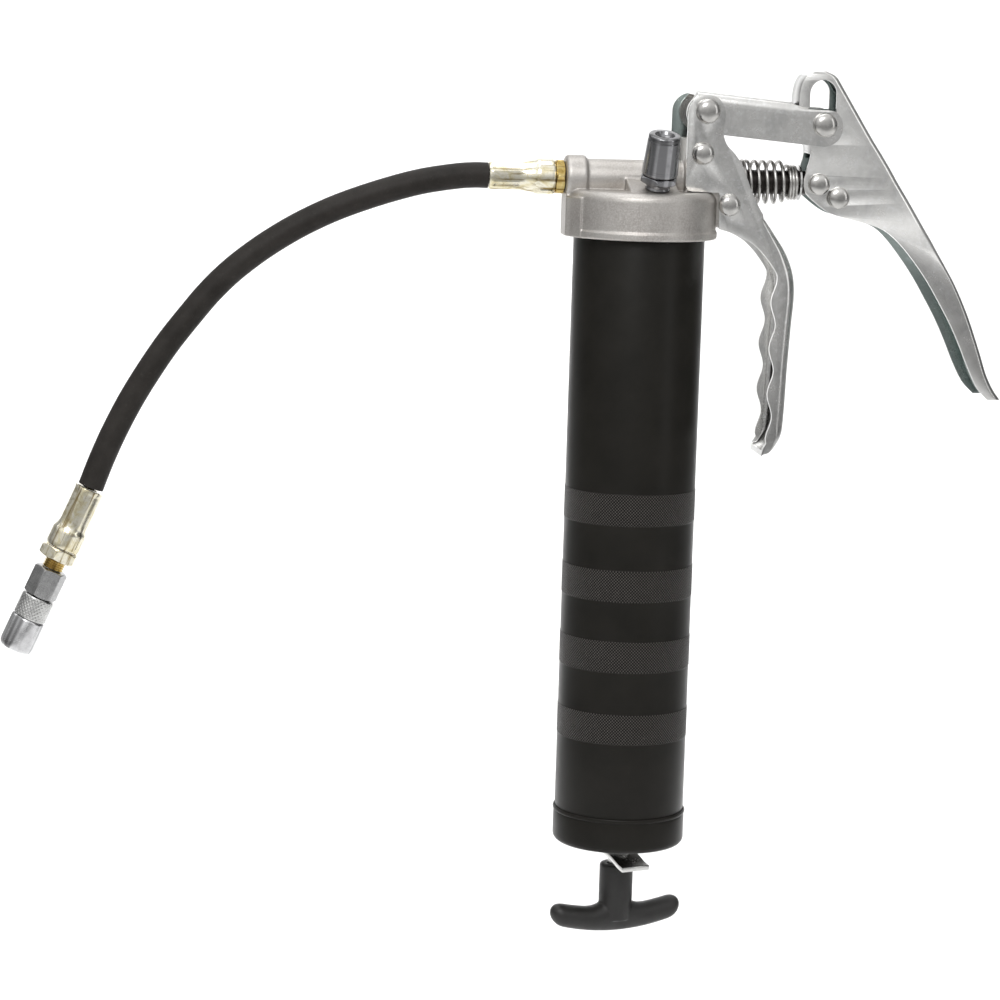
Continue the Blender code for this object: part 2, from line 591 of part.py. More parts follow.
def make_pump(pivot):
    plunger = ((0, 6.4), (PLUNGER_R - 0.6, 6.4), (PLUNGER_R, 7.0), (PLUNGER_R, 78.6),
               (PLUNGER_R - 1.5, 80.2), (0, 80.2))
    rod = turned("pump_plunger", plunger, BLACK_STEEL, (0, 0, PUMP_Z), (1, 0, 0), 28, pivot)
    cut_pin_hole(rod, "plunger_hole", PLUNGER_PIN)
    washer = ((PLUNGER_R + GAP, 68.1), (7.6, 68.1), (7.6, 68.9), (PLUNGER_R + GAP, 68.9))
    turned("spring_washer", washer, STEEL, (0, 0, PUMP_Z), (1, 0, 0), 28, pivot)
    seat = ((PLUNGER_R + GAP, EAR_END + GAP), (9.6, EAR_END + GAP), (9.6, EAR_END + 0.7),
            (PLUNGER_R + GAP, EAR_END + 0.7))
    turned("spring_seat", seat, STEEL, (0, 0, PUMP_Z), (1, 0, 0), 28)

    def radius_at(share):
        return 8.85 if share < 0.62 else max(6.85, 8.85 - 2.0 * (share - 0.62) / 0.12)

    def along_at(share):
        length = SPRING_END - SPRING_START - 1.3
        if share < 0.14:
            rise = 0.07 * share / 0.14
        elif share < 0.74:
            rise = 0.07 + 0.80 * (share - 0.14) / 0.60
        else:
            rise = 0.87 + 0.13 * (share - 0.74) / 0.26
        return SPRING_START + 0.65 + length * rise

    along_x = Matrix.Rotation(math.pi / 2, 3, "Y")
    helix("return_spring", STEEL, (0, 0, PUMP_Z), along_x, 9, 11, 0.62, radius_at, along_at)

    turned("check_ball", ball_profile(3.2, 6), STEEL, (-16.2, 0, PUMP_Z), (1, 0, 0), 14)
    helix("check_spring", STEEL, (0, 0, PUMP_Z), along_x, 3, 8, 0.35,
          lambda t: 3.0, lambda t: -23.3 + 2.9 * t, 0)


# ---------------------------------------------------------------- outlet fitting, hose and coupler
def make_outlet():
    fitting = (
        (2.0, 24.4), (5.9, 24.4), (5.9, 33.6), (7.4, 33.6), (8.1, 34.2), (8.1, 36.9), (7.4, 37.5),
        (2.6, 37.5), (2.6, 52.0), (2.0, 52.0),
    )
    turned("outlet_fitting", fitting, YELLOW_ZINC, (0, 0, PUMP_Z), (-1, 0, 0), 6)
    ferrule = (
        (3.4, 37.8), (7.2, 37.8), (7.7, 38.4), (7.7, 45.0), (7.2, 45.8), (6.5, 48.6), (6.5, 50.2),
        (6.1, 51.0), (6.1, 65.0), (5.7, 65.9), (3.4, 65.9),
    )
    turned("hose_ferrule_near", ferrule, YELLOW_ZINC, (0, 0, PUMP_Z), (-1, 0, 0), 20)


def make_hose():
    route = [Vector((x, 0, z + PUMP_Z)) * MM for x, z in HOSE_ROUTE]
    curve = bpy.data.curves.new("hose", "CURVE")
    curve.dimensions = "3D"
    curve.bevel_depth = HOSE_R * MM
    curve.bevel_resolution = 3
    curve.use_fill_caps = True
    line = smooth_line(route, 1)
    spline = curve.splines.new("POLY")
    spline.points.add(len(line) - 1)
    for point, place in zip(spline.points, line):
        point.co = (*place, 1.0)
    add_object("hose", curve, RUBBER)


def make_coupler():
    start = Vector((FAR_START[0], 0, FAR_START[1] + PUMP_Z))

    def piece(name, profile, finish, segments):
        turned(name, profile, finish, start, FAR_AXIS, segments)

    piece("hose_ferrule_far", ((3.2, 0.2), (5.6, 0.2), (6.1, 1.0), (6.4, 18.9), (7.4, 19.8),
                               (7.4, 27.4), (6.8, 28.2), (3.2, 28.2)), YELLOW_ZINC, 20)
    piece("hose_nut", ((5.7, 28.6), (8.4, 28.6), (8.9, 29.2), (8.9, 33.0), (8.4, 33.6),
                       (5.7, 33.6)), YELLOW_ZINC, 6)
    piece("coupler_stub", ((1.6, 29.2), (4.6, 29.2), (4.6, 38.0), (1.6, 38.0)), STEEL, 20)
    piece("coupler_body", ((1.8, 38.4), (6.4, 38.4), (7.4, 39.2), (7.4, 50.6), (6.6, 51.4),
                           (1.8, 51.4)), STEEL, 6)
    piece("coupler_sleeve", ((5.4, 51.7), (6.8, 51.7), (7.2, 52.1), (7.2, 61.1), (6.8, 61.5),
                             (5.4, 61.5)), STEEL, 20)
    piece("coupler_seal", ((1.8, 51.8), (5.0, 51.8), (5.0, 55.0), (1.8, 55.0)), RUBBER, 20)
    piece("coupler_nose", ((5.9, 61.8), (7.1, 61.8), (7.5, 62.3), (7.5, 72.5), (6.9, 75.4),
                           (6.3, 76.4), (5.6, 76.4), (5.6, 62.6)), STEEL, 20)
    jaw_count = 3
    for number in range(jaw_count):
        mesh = jaw_mesh(2 * math.pi * number / jaw_count, 2 * math.pi / jaw_count - 0.35)
        mesh.transform(FAR_AXIS.to_track_quat("Z", "Y").to_matrix().to_4x4())
        add_mesh("coupler_jaw_%d" % (number + 1), mesh, STEEL, start)


def jaw_mesh(middle, sweep):
    """One of the jaws that grip a grease nipple: a sector of a ring."""
    steps = 4
    sections = []
    for i in range(steps + 1):
        angle = middle - sweep / 2 + sweep * i / steps
        out = Vector((math.cos(angle), math.sin(angle), 0))
        corners = ((3.6, 55.4), (5.1, 55.4), (5.2, 73.0), (4.8, 75.0), (3.6, 75.0))
        sections.append([out * r + Vector((0, 0, h)) for r, h in corners])
    return loft_mesh(sections)


# ---------------------------------------------------------------- follower, rod and T-handle
FOLLOWER_TOP = 157.5
HANDLE_TOP = CAP_RIM_Z - CAP_HEIGHT - 10.5
HANDLE_FOOT = CAP_RIM_Z - CAP_HEIGHT - 41.3
ARM_REACH = 31.0              # from the rod's axis to the tip of an arm
ARM_HALF = 5.6                # half of an arm's thickness


def make_follower():
    cup_r = BARREL_R - BARREL_WALL - GAP
    top = FOLLOWER_TOP
    cup = ((ROD_R + GAP, top - 3.0), (cup_r - 5, top - 3.0), (cup_r - 0.8, top), (cup_r, top),
           (cup_r, top - 9.0), (cup_r - 2.5, top - 9.0), (cup_r - 4.5, top - 6.0),
           (ROD_R + GAP, top - 6.0))
    turned("follower_cup", cup, RUBBER, (0, 0, 0), segments=32)
    washer = ((ROD_R + GAP, top - 8.0), (20.5, top - 8.0), (20.5, top - 6.3), (ROD_R + GAP, top - 6.3))
    turned("follower_washer", washer, STEEL, (0, 0, 0), segments=24)
    hole = (ROD_R + GAP) / math.cos(math.pi / 6)
    nut = ((hole, top - 2.7), (7.0, top - 2.7), (7.0, top + 1.8), (hole, top + 1.8))
    turned("follower_nut", nut, STEEL, (0, 0, 0), segments=6)
    rod = ((0, HANDLE_TOP - 11.0), (ROD_R - 0.4, HANDLE_TOP - 11.0), (ROD_R, HANDLE_TOP - 10.4),
           (ROD_R, top + 2.8), (ROD_R - 0.6, top + 3.4), (0, top + 3.4))
    turned("follower_rod", rod, STEEL, (0, 0, 0), segments=20)
    low = CAP_RIM_Z - CAP_HEIGHT + 4.6
    high = top - 9.4
    helix("follower_spring", STEEL, (0, 0, 0), Matrix.Identity(3), 13, 10, 1.1,
          lambda t: 17.5, lambda t: low + (high - low) * t, 0)


def make_t_handle():
    """A stem with a blind socket for the rod, and two arms that turn up at their ends."""
    top = HANDLE_TOP
    low = HANDLE_FOOT + ARM_HALF
    stem = ((0, low), (6.8, low), (7.4, low + 8), (7.4, top - 0.8), (6.6, top), (ROD_R + GAP, top),
            (ROD_R + GAP, top - 12.0), (0, top - 12.0))
    handle = turned("t_handle", stem, BLACK_PLASTIC, (0, 0, 0), segments=28)
    right = (3.0, 7.0, 10.0, 14.0, 19.0, 24.0, 27.0, 29.4, 30.7, ARM_REACH)
    sections = []
    for x in [-x for x in reversed(right)] + list(right):
        reach = abs(x) / ARM_REACH
        root_rise = 4.2 * max(0.0, 1 - abs(x) / 14.0) ** 2
        tip = max(0.0, (abs(x) - (ARM_REACH - ARM_HALF)) / ARM_HALF)
        shrink = math.sqrt(1 - min(tip, 0.98) ** 2)
        height = (ARM_HALF + root_rise - 0.5 * reach) * shrink
        middle = HANDLE_FOOT + ARM_HALF + root_rise + 4.6 * reach ** 2
        ring = []
        for i in range(14):
            angle = 2 * math.pi * i / 14
            ring.append(Vector((x, 5.4 * shrink * math.cos(angle), middle + height * math.sin(angle))))
        sections.append(ring)
    arms = loft_mesh(sections)
    bmesh.ops.rotate(arms, matrix=Matrix.Rotation(HANDLE_YAW, 3, "Z"), verts=arms.verts)
    boolean(handle, "UNION", add_mesh("t_handle_arms", arms, None))


# the lock tab, seen from its side: (distance from the rod's axis towards its front, height)
TAB_YAW = math.radians(20.0)
TAB_W = 13.4
TAB_T = 2.0
TAB_Z = CAP_RIM_Z - CAP_HEIGHT - CAP_DISH - 3.1
TAB_LINE = ((-14.0, 1.2), (-7.5, 1.0), (6.0, -1.6), (13.0, -3.8), (17.5, -4.6))
TAB_HINGE = (-14.0, 1.2)


def tab_place(forward, across, height):
    """A point of the lock tab: forward leans from -Y towards +X by the tab's yaw."""
    ahead = Vector((math.sin(TAB_YAW), -math.cos(TAB_YAW), 0))
    aside = Vector((math.cos(TAB_YAW), math.sin(TAB_YAW), 0))
    return ahead * forward + aside * across + Vector((0, 0, TAB_Z + height))


def make_rod_lock():
    """A tilting plate that grips the rod, held in a hook under the cap."""
    hinge = tab_place(TAB_HINGE[0], 0, TAB_HINGE[1])
    pivot = bpy.data.objects.new("rod_lock_hinge", None)
    bpy.context.collection.objects.link(pivot)
    pivot.location = hinge * MM

    upper = [(f, h + TAB_T / 2) for f, h in TAB_LINE]
    lower = [(f, h - TAB_T / 2) for f, h in reversed(TAB_LINE)]
    sections = []
    for across in (-TAB_W / 2, TAB_W / 2):
        sections.append([tab_place(f, across, h) - hinge for f, h in upper + lower])
    plate = add_mesh("rod_lock_tab", loft_mesh(sections), ZINC, hinge, pivot)
    cut_round(plate, "tab_hole", ROD_R + 1.1, (0, 0, TAB_Z - 10), (0, 0, TAB_Z + 10), 20)

    under_cap = CAP_RIM_Z - CAP_HEIGHT - CAP_DISH * 0.9 - GAP - TAB_Z
    hook = ((-19.4, under_cap), (-14.6, under_cap), (-14.6, 2.8), (-16.4, 2.8), (-16.4, -1.2),
            (-10.6, -1.2), (-10.6, -2.8), (-18.0, -2.8), (-18.0, 3.6), (-19.4, 3.6))
    sections = [[tab_place(f, across, h) for f, h in hook] for across in (-4.5, 4.5)]
    add_mesh("rod_lock_hook", loft_mesh(sections), ZINC)


def main():
    for obj in list(bpy.data.objects):
        bpy.data.objects.remove(obj)
    make_barrel()
    make_end_cap()
    make_pump_head()
    make_filler()
    make_grip_bracket()
    make_link(add_pivot("link_hinge", *LINK_PIVOT))
    plunger_slide = add_pivot("plunger_slide", *PLUNGER_PIN)
    make_pump(plunger_slide)
    make_lever(add_pivot("lever_hinge", *PLUNGER_PIN))
    make_outlet()
    make_hose()
    make_coupler()
    make_follower()
    make_t_handle()
    make_rod_lock()


main()
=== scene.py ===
"""Grease gun: detailed pieces, materials, light and camera around the fixed frame. Millimetres
are turned into metres by MM; heights count from the middle of the barrel's knurled zone."""

import math

import bmesh
import bpy
from mathutils import Matrix, Vector


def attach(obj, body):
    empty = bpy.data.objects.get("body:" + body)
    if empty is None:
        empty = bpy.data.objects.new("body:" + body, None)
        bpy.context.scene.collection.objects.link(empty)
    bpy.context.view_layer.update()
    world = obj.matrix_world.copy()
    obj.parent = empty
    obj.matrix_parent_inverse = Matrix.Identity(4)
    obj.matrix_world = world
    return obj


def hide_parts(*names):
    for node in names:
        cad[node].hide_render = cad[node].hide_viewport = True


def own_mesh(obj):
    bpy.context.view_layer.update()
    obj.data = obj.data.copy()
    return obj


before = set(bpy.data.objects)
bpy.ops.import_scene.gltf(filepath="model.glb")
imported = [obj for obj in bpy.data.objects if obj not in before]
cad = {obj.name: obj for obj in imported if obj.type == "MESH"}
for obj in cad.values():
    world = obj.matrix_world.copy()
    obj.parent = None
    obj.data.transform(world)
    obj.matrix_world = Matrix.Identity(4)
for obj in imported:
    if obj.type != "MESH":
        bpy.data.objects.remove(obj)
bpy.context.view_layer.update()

MM = 0.001
BARREL_R = 28.25
BARREL_WALL = 1.2
HEAD_EDGE_Z = 163.0
HEAD_HEIGHT = 20.0
HEAD_R = 33.3
HEAD_SOCKET_DEPTH = 12.0
CAP_RIM_Z = -87.5
CAP_HEIGHT = 15.5
CAP_R = 29.1
CAP_DISH = 1.6
PUMP_Z = 187.7
PLUNGER_R = 5.15
BRACKET_W = 26.0
BRACKET_T = 2.0
LINK_W = 21.2
LINK_T = 1.8
LEVER_HEAD_W = 17.0
LEVER_T = 1.8
HOSE_R = 5.5
ROD_R = 3.95
PIN_R = 3.0
PIN_HOLE_R = 3.3
DOME_R = 4.7
DOME_H = 2.7
GAP = 0.3
LINK_PIVOT = (25.3, 29.0)
FULCRUM = (76.6, 24.4)
PLUNGER_PIN = (75.9, 0.0)
LEVER_RIVET = (84.6, -5.6)
BRACKET_UPPER = (24.2, 12.1)
BRACKET_LOWER = (36.4, -9.6)
OUTLET = (-1, 0, 0)
PUMP_AXIS_POINT = (0, 0, PUMP_Z)


# ---------------- camera, light and floor
def make_camera():
    """The camera's place and turn: it looks from the front, a little from the hose's side."""
    azimuth, pitch, roll = math.radians(7.0), math.radians(8.5), math.radians(1.75)
    ahead = Vector((math.sin(azimuth) * math.cos(pitch), math.cos(azimuth) * math.cos(pitch),
                    -math.sin(pitch)))
    level = Vector((math.cos(azimuth), -math.sin(azimuth), 0))
    lift = level.cross(ahead)
    right = level * math.cos(roll) + lift * math.sin(roll)
    up = lift * math.cos(roll) - level * math.sin(roll)
    data = bpy.data.cameras.new("camera")
    data.lens = 122.4
    data.sensor_width = 36.0
    camera = bpy.data.objects.new("camera", data)
    bpy.context.collection.objects.link(camera)
    turn = Matrix((right, up, -ahead)).transposed().to_4x4()
    camera.matrix_world = Matrix.Translation((-0.23417, -1.44496, 0.26527)) @ turn
    bpy.context.scene.camera = camera


make_camera()


# ---------------- materials
class Finish:
    """A Principled material and short ways to add texture nodes that work in millimetres."""

    def __init__(self, name, colour, roughness, metallic, **constants):
        self.material = bpy.data.materials.new(name)
        self.material.use_nodes = True
        self.tree = self.material.node_tree
        self.shader = self.tree.nodes["Principled BSDF"]
        self.set("Base Color", (*colour, 1.0))
        self.set("Roughness", roughness)
        self.set("Metallic", metallic)
        for socket, value in constants.items():
            self.set(socket.replace("_", " "), value)
        coords = self.tree.nodes.new("ShaderNodeTexCoord")
        scale = self.node("ShaderNodeVectorMath", "SCALE")
        self.link(coords.outputs["Object"], scale.inputs[0])
        scale.inputs["Scale"].default_value = 1000.0
        self.mm = scale.outputs[0]
        self.last_normal = None

    def set(self, socket, value):
        self.shader.inputs[socket].default_value = value

    def node(self, kind, operation=None):
        node = self.tree.nodes.new(kind)
        if operation:
            node.operation = operation
        return node

    def link(self, output, target):
        self.tree.links.new(output, target)

    def give(self, value, target):
        if isinstance(value, (int, float)):
            target.default_value = value
        else:
            self.link(value, target)

    def math(self, operation, first, second=0.0, third=0.0):
        node = self.node("ShaderNodeMath", operation)
        for value, target in zip((first, second, third), node.inputs):
            self.give(value, target)
        return node.outputs[0]

    def stretched(self, factors):
        node = self.node("ShaderNodeVectorMath", "MULTIPLY")
        self.link(self.mm, node.inputs[0])
        node.inputs[1].default_value = factors
        return node.outputs[0]

    def axis(self, index):
        node = self.node("ShaderNodeSeparateXYZ")
        self.link(self.mm, node.inputs[0])
        return node.outputs[index]

    def noise(self, size, detail=4.0, rough=0.55, stretch=(1, 1, 1), distortion=0.0):
        """Noise whose lumps are about size mm across."""
        node = self.node("ShaderNodeTexNoise")
        self.link(self.stretched(stretch), node.inputs["Vector"])
        node.inputs["Scale"].default_value = 1.0 / size
        node.inputs["Detail"].default_value = detail
        node.inputs["Roughness"].default_value = rough
        node.inputs["Distortion"].default_value = distortion
        return node.outputs["Fac"]

    def cells(self, size):
        node = self.node("ShaderNodeTexVoronoi")
        self.link(self.mm, node.inputs["Vector"])
        node.inputs["Scale"].default_value = 1.0 / size
        return node.outputs["Distance"]

    def spread(self, value, low, high, to_low=0.0, to_high=1.0):
        """Stretch a value from low..high to to_low..to_high, clamped."""
        node = self.node("ShaderNodeMapRange")
        self.give(value, node.inputs["Value"])
        for key, number in (("From Min", low), ("From Max", high), ("To Min", to_low),
                            ("To Max", to_high)):
            node.inputs[key].default_value = number
        return node.outputs["Result"]

    def ramp(self, value, stops):
        node = self.node("ShaderNodeValToRGB")
        self.link(value, node.inputs["Fac"])
        elements = node.color_ramp.elements
        elements[0].position, elements[0].color = stops[0][0], (*stops[0][1], 1.0)
        elements[1].position, elements[1].color = stops[-1][0], (*stops[-1][1], 1.0)
        for position, colour in stops[1:-1]:
            elements.new(position).color = (*colour, 1.0)
        return node.outputs["Color"]

    def mix(self, share, first, second):
        node = self.node("ShaderNodeMix")
        node.data_type = "RGBA"
        sockets = [s for s in node.inputs if s.type == "RGBA"]
        self.give(share, node.inputs[0])
        for value, target in zip((first, second), sockets):
            if isinstance(value, tuple):
                target.default_value = (*value, 1.0)
            else:
                self.link(value, target)
        return [s for s in node.outputs if s.type == "RGBA"][0]

    def colour(self, output):
        self.link(output, self.shader.inputs["Base Color"])

    def roughness(self, output):
        self.link(output, self.shader.inputs["Roughness"])

    def bump(self, height, depth, strength=1.0):
        """Relief of depth mm; later calls add to earlier ones."""
        node = self.node("ShaderNodeBump")
        node.inputs["Strength"].default_value = strength
        node.inputs["Distance"].default_value = depth * MM
        self.link(height, node.inputs["Height"])
        if self.last_normal:
            self.link(self.last_normal, node.inputs["Normal"])
        self.link(node.outputs["Normal"], self.shader.inputs["Normal"])
        self.last_normal = node.outputs["Normal"]


def zinc_finish(name, gain, tint=(1.0, 1.0, 1.0), low=0.0, high=1.0, share=1.0):
    """Satin zinc plate: clouds, fine grain and small bright flecks; gain lightens it, which makes the
    painted lit and painted shade copies. Its painted shade goes from full above the height high to
    a share of it below low."""
    def shade(colour):
        return tuple(min(0.98, c * gain * t) for c, t in zip(colour, tint))

    f = Finish(name, (0.5, 0.5, 0.48), 0.33, 1.0)
    patches = f.noise(9.0, 3.0, 0.6, distortion=0.6)
    grain = f.noise(0.9, 5.0, 0.7)
    flecks = f.noise(2.6, 6.0, 0.75)
    tones = ((0.30, (0.62, 0.62, 0.61)), (0.48, (0.66, 0.655, 0.64)), (0.60, (0.69, 0.685, 0.67)),
             (0.75, (0.64, 0.63, 0.61)))
    tone = f.ramp(patches, [(at, shade(colour)) for at, colour in tones])
    tone = f.mix(f.spread(flecks, 0.52, 0.70), tone, shade((0.82, 0.825, 0.82)))
    # painted shade: the tone darkens towards the bottom, down to share of it below low
    if share < 1.0:
        tone = f.mix(f.spread(f.axis(2), low, high, share, 1.0), (0.0, 0.0, 0.0), tone)
    f.colour(tone)
    f.roughness(f.spread(f.math("ADD", f.math("MULTIPLY", patches, 0.6), f.math("MULTIPLY", grain, 0.4)),
                         0.3, 0.7, 0.17, 0.30))
    f.bump(grain, 0.012, 0.4)
    f.bump(flecks, 0.014, 0.3)
    scratches = f.noise(0.35, 2.0, 0.5, stretch=(0.05, 1.0, 1.0))
    f.bump(scratches, 0.012, 0.3)
    return f.material


def cast_finish():
    f = Finish("cast_metal", (0.5, 0.48, 0.45), 0.5, 0.85)
    sand = f.noise(0.75, 6.0, 0.75)
    lumps = f.noise(3.0, 3.0, 0.5)
    cloud = f.noise(16.0, 3.0, 0.6)
    tone = f.ramp(cloud, ((0.32, (0.42, 0.39, 0.365)), (0.55, (0.51, 0.485, 0.455)),
                          (0.75, (0.56, 0.535, 0.51))))
    f.colour(f.mix(f.spread(sand, 0.42, 0.7), tone, (0.65, 0.63, 0.605)))
    f.roughness(f.spread(sand, 0.3, 0.7, 0.34, 0.52))
    f.bump(sand, 0.14, 0.55)
    f.bump(lumps, 0.12, 0.35)
    pits = f.cells(1.7)
    f.bump(f.spread(pits, 0.0, 0.32), 0.06, 0.25)
    return f.material


def enamel_finish(name, knurled=False):
    """Semi-gloss black enamel; the knurled one carries a diamond pattern around the Z axis, with painted
    sheen on its crests and painted shade in its grooves.
    """
    f = Finish(name, (0.016, 0.0145, 0.013), 0.34, 0.0, Specular_IOR_Level=0.16)
    cloud = f.noise(22.0, 3.0, 0.6)
    dust = f.noise(1.1, 6.0, 0.8)
    f.colour(f.mix(f.spread(dust, 0.60, 0.80, 0.0, 0.5),
                   f.ramp(cloud, ((0.3, (0.0110, 0.0102, 0.0085)), (0.7, (0.0155, 0.0142, 0.0118)))),
                   (0.036, 0.033, 0.029)))
    if not knurled:
        f.roughness(f.spread(cloud, 0.3, 0.7, 0.28, 0.38))
        f.bump(f.noise(1.6, 2.0, 0.4), 0.02, 0.45)
        return f.material
    f.roughness(f.spread(cloud, 0.3, 0.7, 0.30, 0.42))
    turn = f.math("ARCTAN2", f.axis(1), f.axis(0))
    around = f.math("MULTIPLY", turn, 68.0)
    along = f.math("MULTIPLY", f.axis(2), 2.3)
    one = f.math("SINE", f.math("ADD", around, along))
    other = f.math("SINE", f.math("SUBTRACT", around, along))
    diamonds = f.math("ADD", f.math("ABSOLUTE", one), f.math("ABSOLUTE", other))
    f.bump(diamonds, 0.6, 1.0)
    # painted sheen on the knurl's crests and painted shade in its grooves
    f.colour(f.mix(f.spread(diamonds, 1.0, 1.85), (0.004, 0.0037, 0.0033), (0.125, 0.115, 0.105)))
    return f.material


def plastic_finish():
    f = Finish("black_plastic", (0.018, 0.017, 0.016), 0.42, 0.0, Specular_IOR_Level=0.45)
    grain = f.noise(0.45, 3.0, 0.6)
    cloud = f.noise(12.0, 3.0, 0.6)
    f.colour(f.ramp(cloud, ((0.3, (0.014, 0.0133, 0.0125)), (0.7, (0.024, 0.023, 0.022)))))
    f.roughness(f.spread(grain, 0.3, 0.7, 0.36, 0.52))
    f.bump(grain, 0.05, 0.5)
    return f.material


def hose_finish():
    """Rubber cover with the faint weave of the braid under it and a little dust."""
    f = Finish("hose_rubber", (0.022, 0.019, 0.017), 0.48, 0.0, Specular_IOR_Level=0.2)
    cloud = f.noise(14.0, 4.0, 0.65)
    grain = f.noise(0.5, 4.0, 0.7)
    dust = f.noise(2.4, 6.0, 0.8)
    base = f.ramp(cloud, ((0.3, (0.018, 0.0155, 0.0135)), (0.7, (0.033, 0.029, 0.026))))
    f.colour(f.mix(f.spread(dust, 0.56, 0.8, 0.0, 0.45), base, (0.075, 0.068, 0.060)))
    f.roughness(f.spread(grain, 0.3, 0.7, 0.42, 0.62))
    f.bump(grain, 0.06, 0.5)
    f.bump(f.noise(1.9, 2.0, 0.4), 0.08, 0.35)
    return f.material


def rubber_finish():
    f = Finish("seal_rubber", (0.02, 0.02, 0.02), 0.6, 0.0)
    grain = f.noise(0.6, 4.0, 0.6)
    f.colour(f.ramp(grain, ((0.3, (0.014, 0.014, 0.014)), (0.7, (0.03, 0.03, 0.03)))))
    f.roughness(f.spread(grain, 0.3, 0.7, 0.5, 0.7))
    f.bump(grain, 0.05, 0.4)
    return f.material


def yellow_finish(name, pale):
    """Yellow zinc plate: gold and olive clouds with a faint pink and green sheen, and dark painted
    reflection stripes along its axis.
    """
    f = Finish(name, (0.55, 0.45, 0.25), 0.26, 1.0)
    cloud = f.noise(6.0, 3.0, 0.6, distortion=0.8)
    grain = f.noise(0.5, 4.0, 0.7)
    if pale:
        stops = ((0.28, (0.62, 0.52, 0.29)), (0.42, (0.86, 0.79, 0.56)), (0.55, (0.96, 0.92, 0.78)),
                 (0.68, (0.72, 0.67, 0.50)), (0.80, (0.62, 0.52, 0.31)))
    else:
        stops = ((0.28, (0.38, 0.26, 0.07)), (0.45, (0.58, 0.42, 0.14)), (0.58, (0.66, 0.53, 0.24)),
                 (0.72, (0.52, 0.42, 0.17)), (0.82, (0.42, 0.29, 0.10)))
    # painted reflection: dark stripes along the piece's axis, varying round it
    painted_reflection_streak = f.noise(1.9, 3.0, 0.6, stretch=(1.0, 1.0, 0.06))
    dark = (0.32, 0.24, 0.10) if pale else (0.22, 0.14, 0.04)
    f.colour(f.mix(f.spread(painted_reflection_streak, 0.34, 0.46), dark, f.ramp(cloud, stops)))
    f.roughness(f.spread(grain, 0.3, 0.7, 0.12, 0.22))
    f.bump(grain, 0.012, 0.4)
    rings = f.noise(0.5, 2.0, 0.5, stretch=(0.04, 0.04, 1.0))
    f.bump(rings, 0.03, 0.35)
    return f.material


def steel_finish(name, colour, roughness, ring_depth, painted_reflection_tone=1.0):
    """Machined steel with fine tool rings across the piece's own Z axis; the last argument is how dark
    the soft painted reflection stripes along it are."""
    f = Finish(name, colour, roughness, 1.0)
    cloud = f.noise(5.0, 3.0, 0.6)
    grain = f.noise(0.7, 5.0, 0.7)
    dim = tuple(c * 0.78 for c in colour)
    light = tuple(min(1.0, c * 1.16) for c in colour)
    tone = f.ramp(cloud, ((0.3, dim), (0.52, colour), (0.72, light)))
    # painted reflection: dark stripes along the piece's axis, varying round it
    if painted_reflection_tone < 1.0:
        painted_reflection_streak = f.noise(3.6, 1.0, 0.5, stretch=(1.0, 1.0, 0.02))
        tone = f.mix(f.spread(painted_reflection_streak, 0.44, 0.54), tuple(c * painted_reflection_tone for c in colour), tone)
    f.colour(tone)
    f.roughness(f.spread(grain, 0.3, 0.7, roughness * 0.75, roughness * 1.35))
    rings = f.noise(0.35, 3.0, 0.6, stretch=(0.03, 0.03, 1.0))
    f.bump(rings, ring_depth, 0.5)
    f.bump(grain, 0.015, 0.4)
    return f.material


def spring_finish():
    f = Finish("spring_steel", (0.50, 0.49, 0.47), 0.3, 1.0)
    cloud = f.noise(3.0, 4.0, 0.6)
    f.colour(f.ramp(cloud, ((0.3, (0.34, 0.33, 0.32)), (0.5, (0.52, 0.51, 0.49)),
                            (0.7, (0.62, 0.61, 0.60)))))
    f.roughness(f.spread(cloud, 0.3, 0.7, 0.24, 0.38))
    f.bump(f.noise(0.4, 3.0, 0.6), 0.015, 0.4)
    return f.material


def floor_finish():
    """White paper under and behind the object, with painted shade that greys it towards the studio's front
    and sides.
    """
    f = Finish("studio_floor", (0.9, 0.9, 0.9), 0.7, 0.0)
    cloud = f.noise(400.0, 2.0, 0.5)
    paper = f.ramp(cloud, ((0.3, (0.90, 0.90, 0.90)), (0.7, (0.93, 0.93, 0.93))))
    # painted shade: the floor greys towards the front and the sides
    ahead = f.spread(f.axis(1), -1600.0, -700.0, 0.0, 1.0)
    aside = f.spread(f.math("ABSOLUTE", f.math("SUBTRACT", f.axis(0), 250.0)), 900.0, 1700.0, 1.0, 0.0)
    f.colour(f.mix(f.math("MULTIPLY", ahead, aside), (0.42, 0.42, 0.42), paper))
    return f.material


ZINC = zinc_finish("zinc_plate", 1.16)
# painted light: a lighter copy of the zinc for the lever, with painted shade below the height 176
PAINTED_LIT_ZINC = zinc_finish("zinc_plate_painted_lit", 1.36, low=146.0, high=176.0, share=0.66)
# painted shade: the grip's zinc darkens below the height 150, down to 0.66 below 80
GRIP_ZINC_PAINTED_SHADE = zinc_finish("zinc_plate_grip_painted_shade", 1.14, low=80.0, high=150.0, share=0.66)
# painted shade: a darker copy of the zinc for the lever's faces turned to the left
PAINTED_SHADE_SIDE_ZINC = zinc_finish("zinc_plate_painted_shade_side", 0.68)
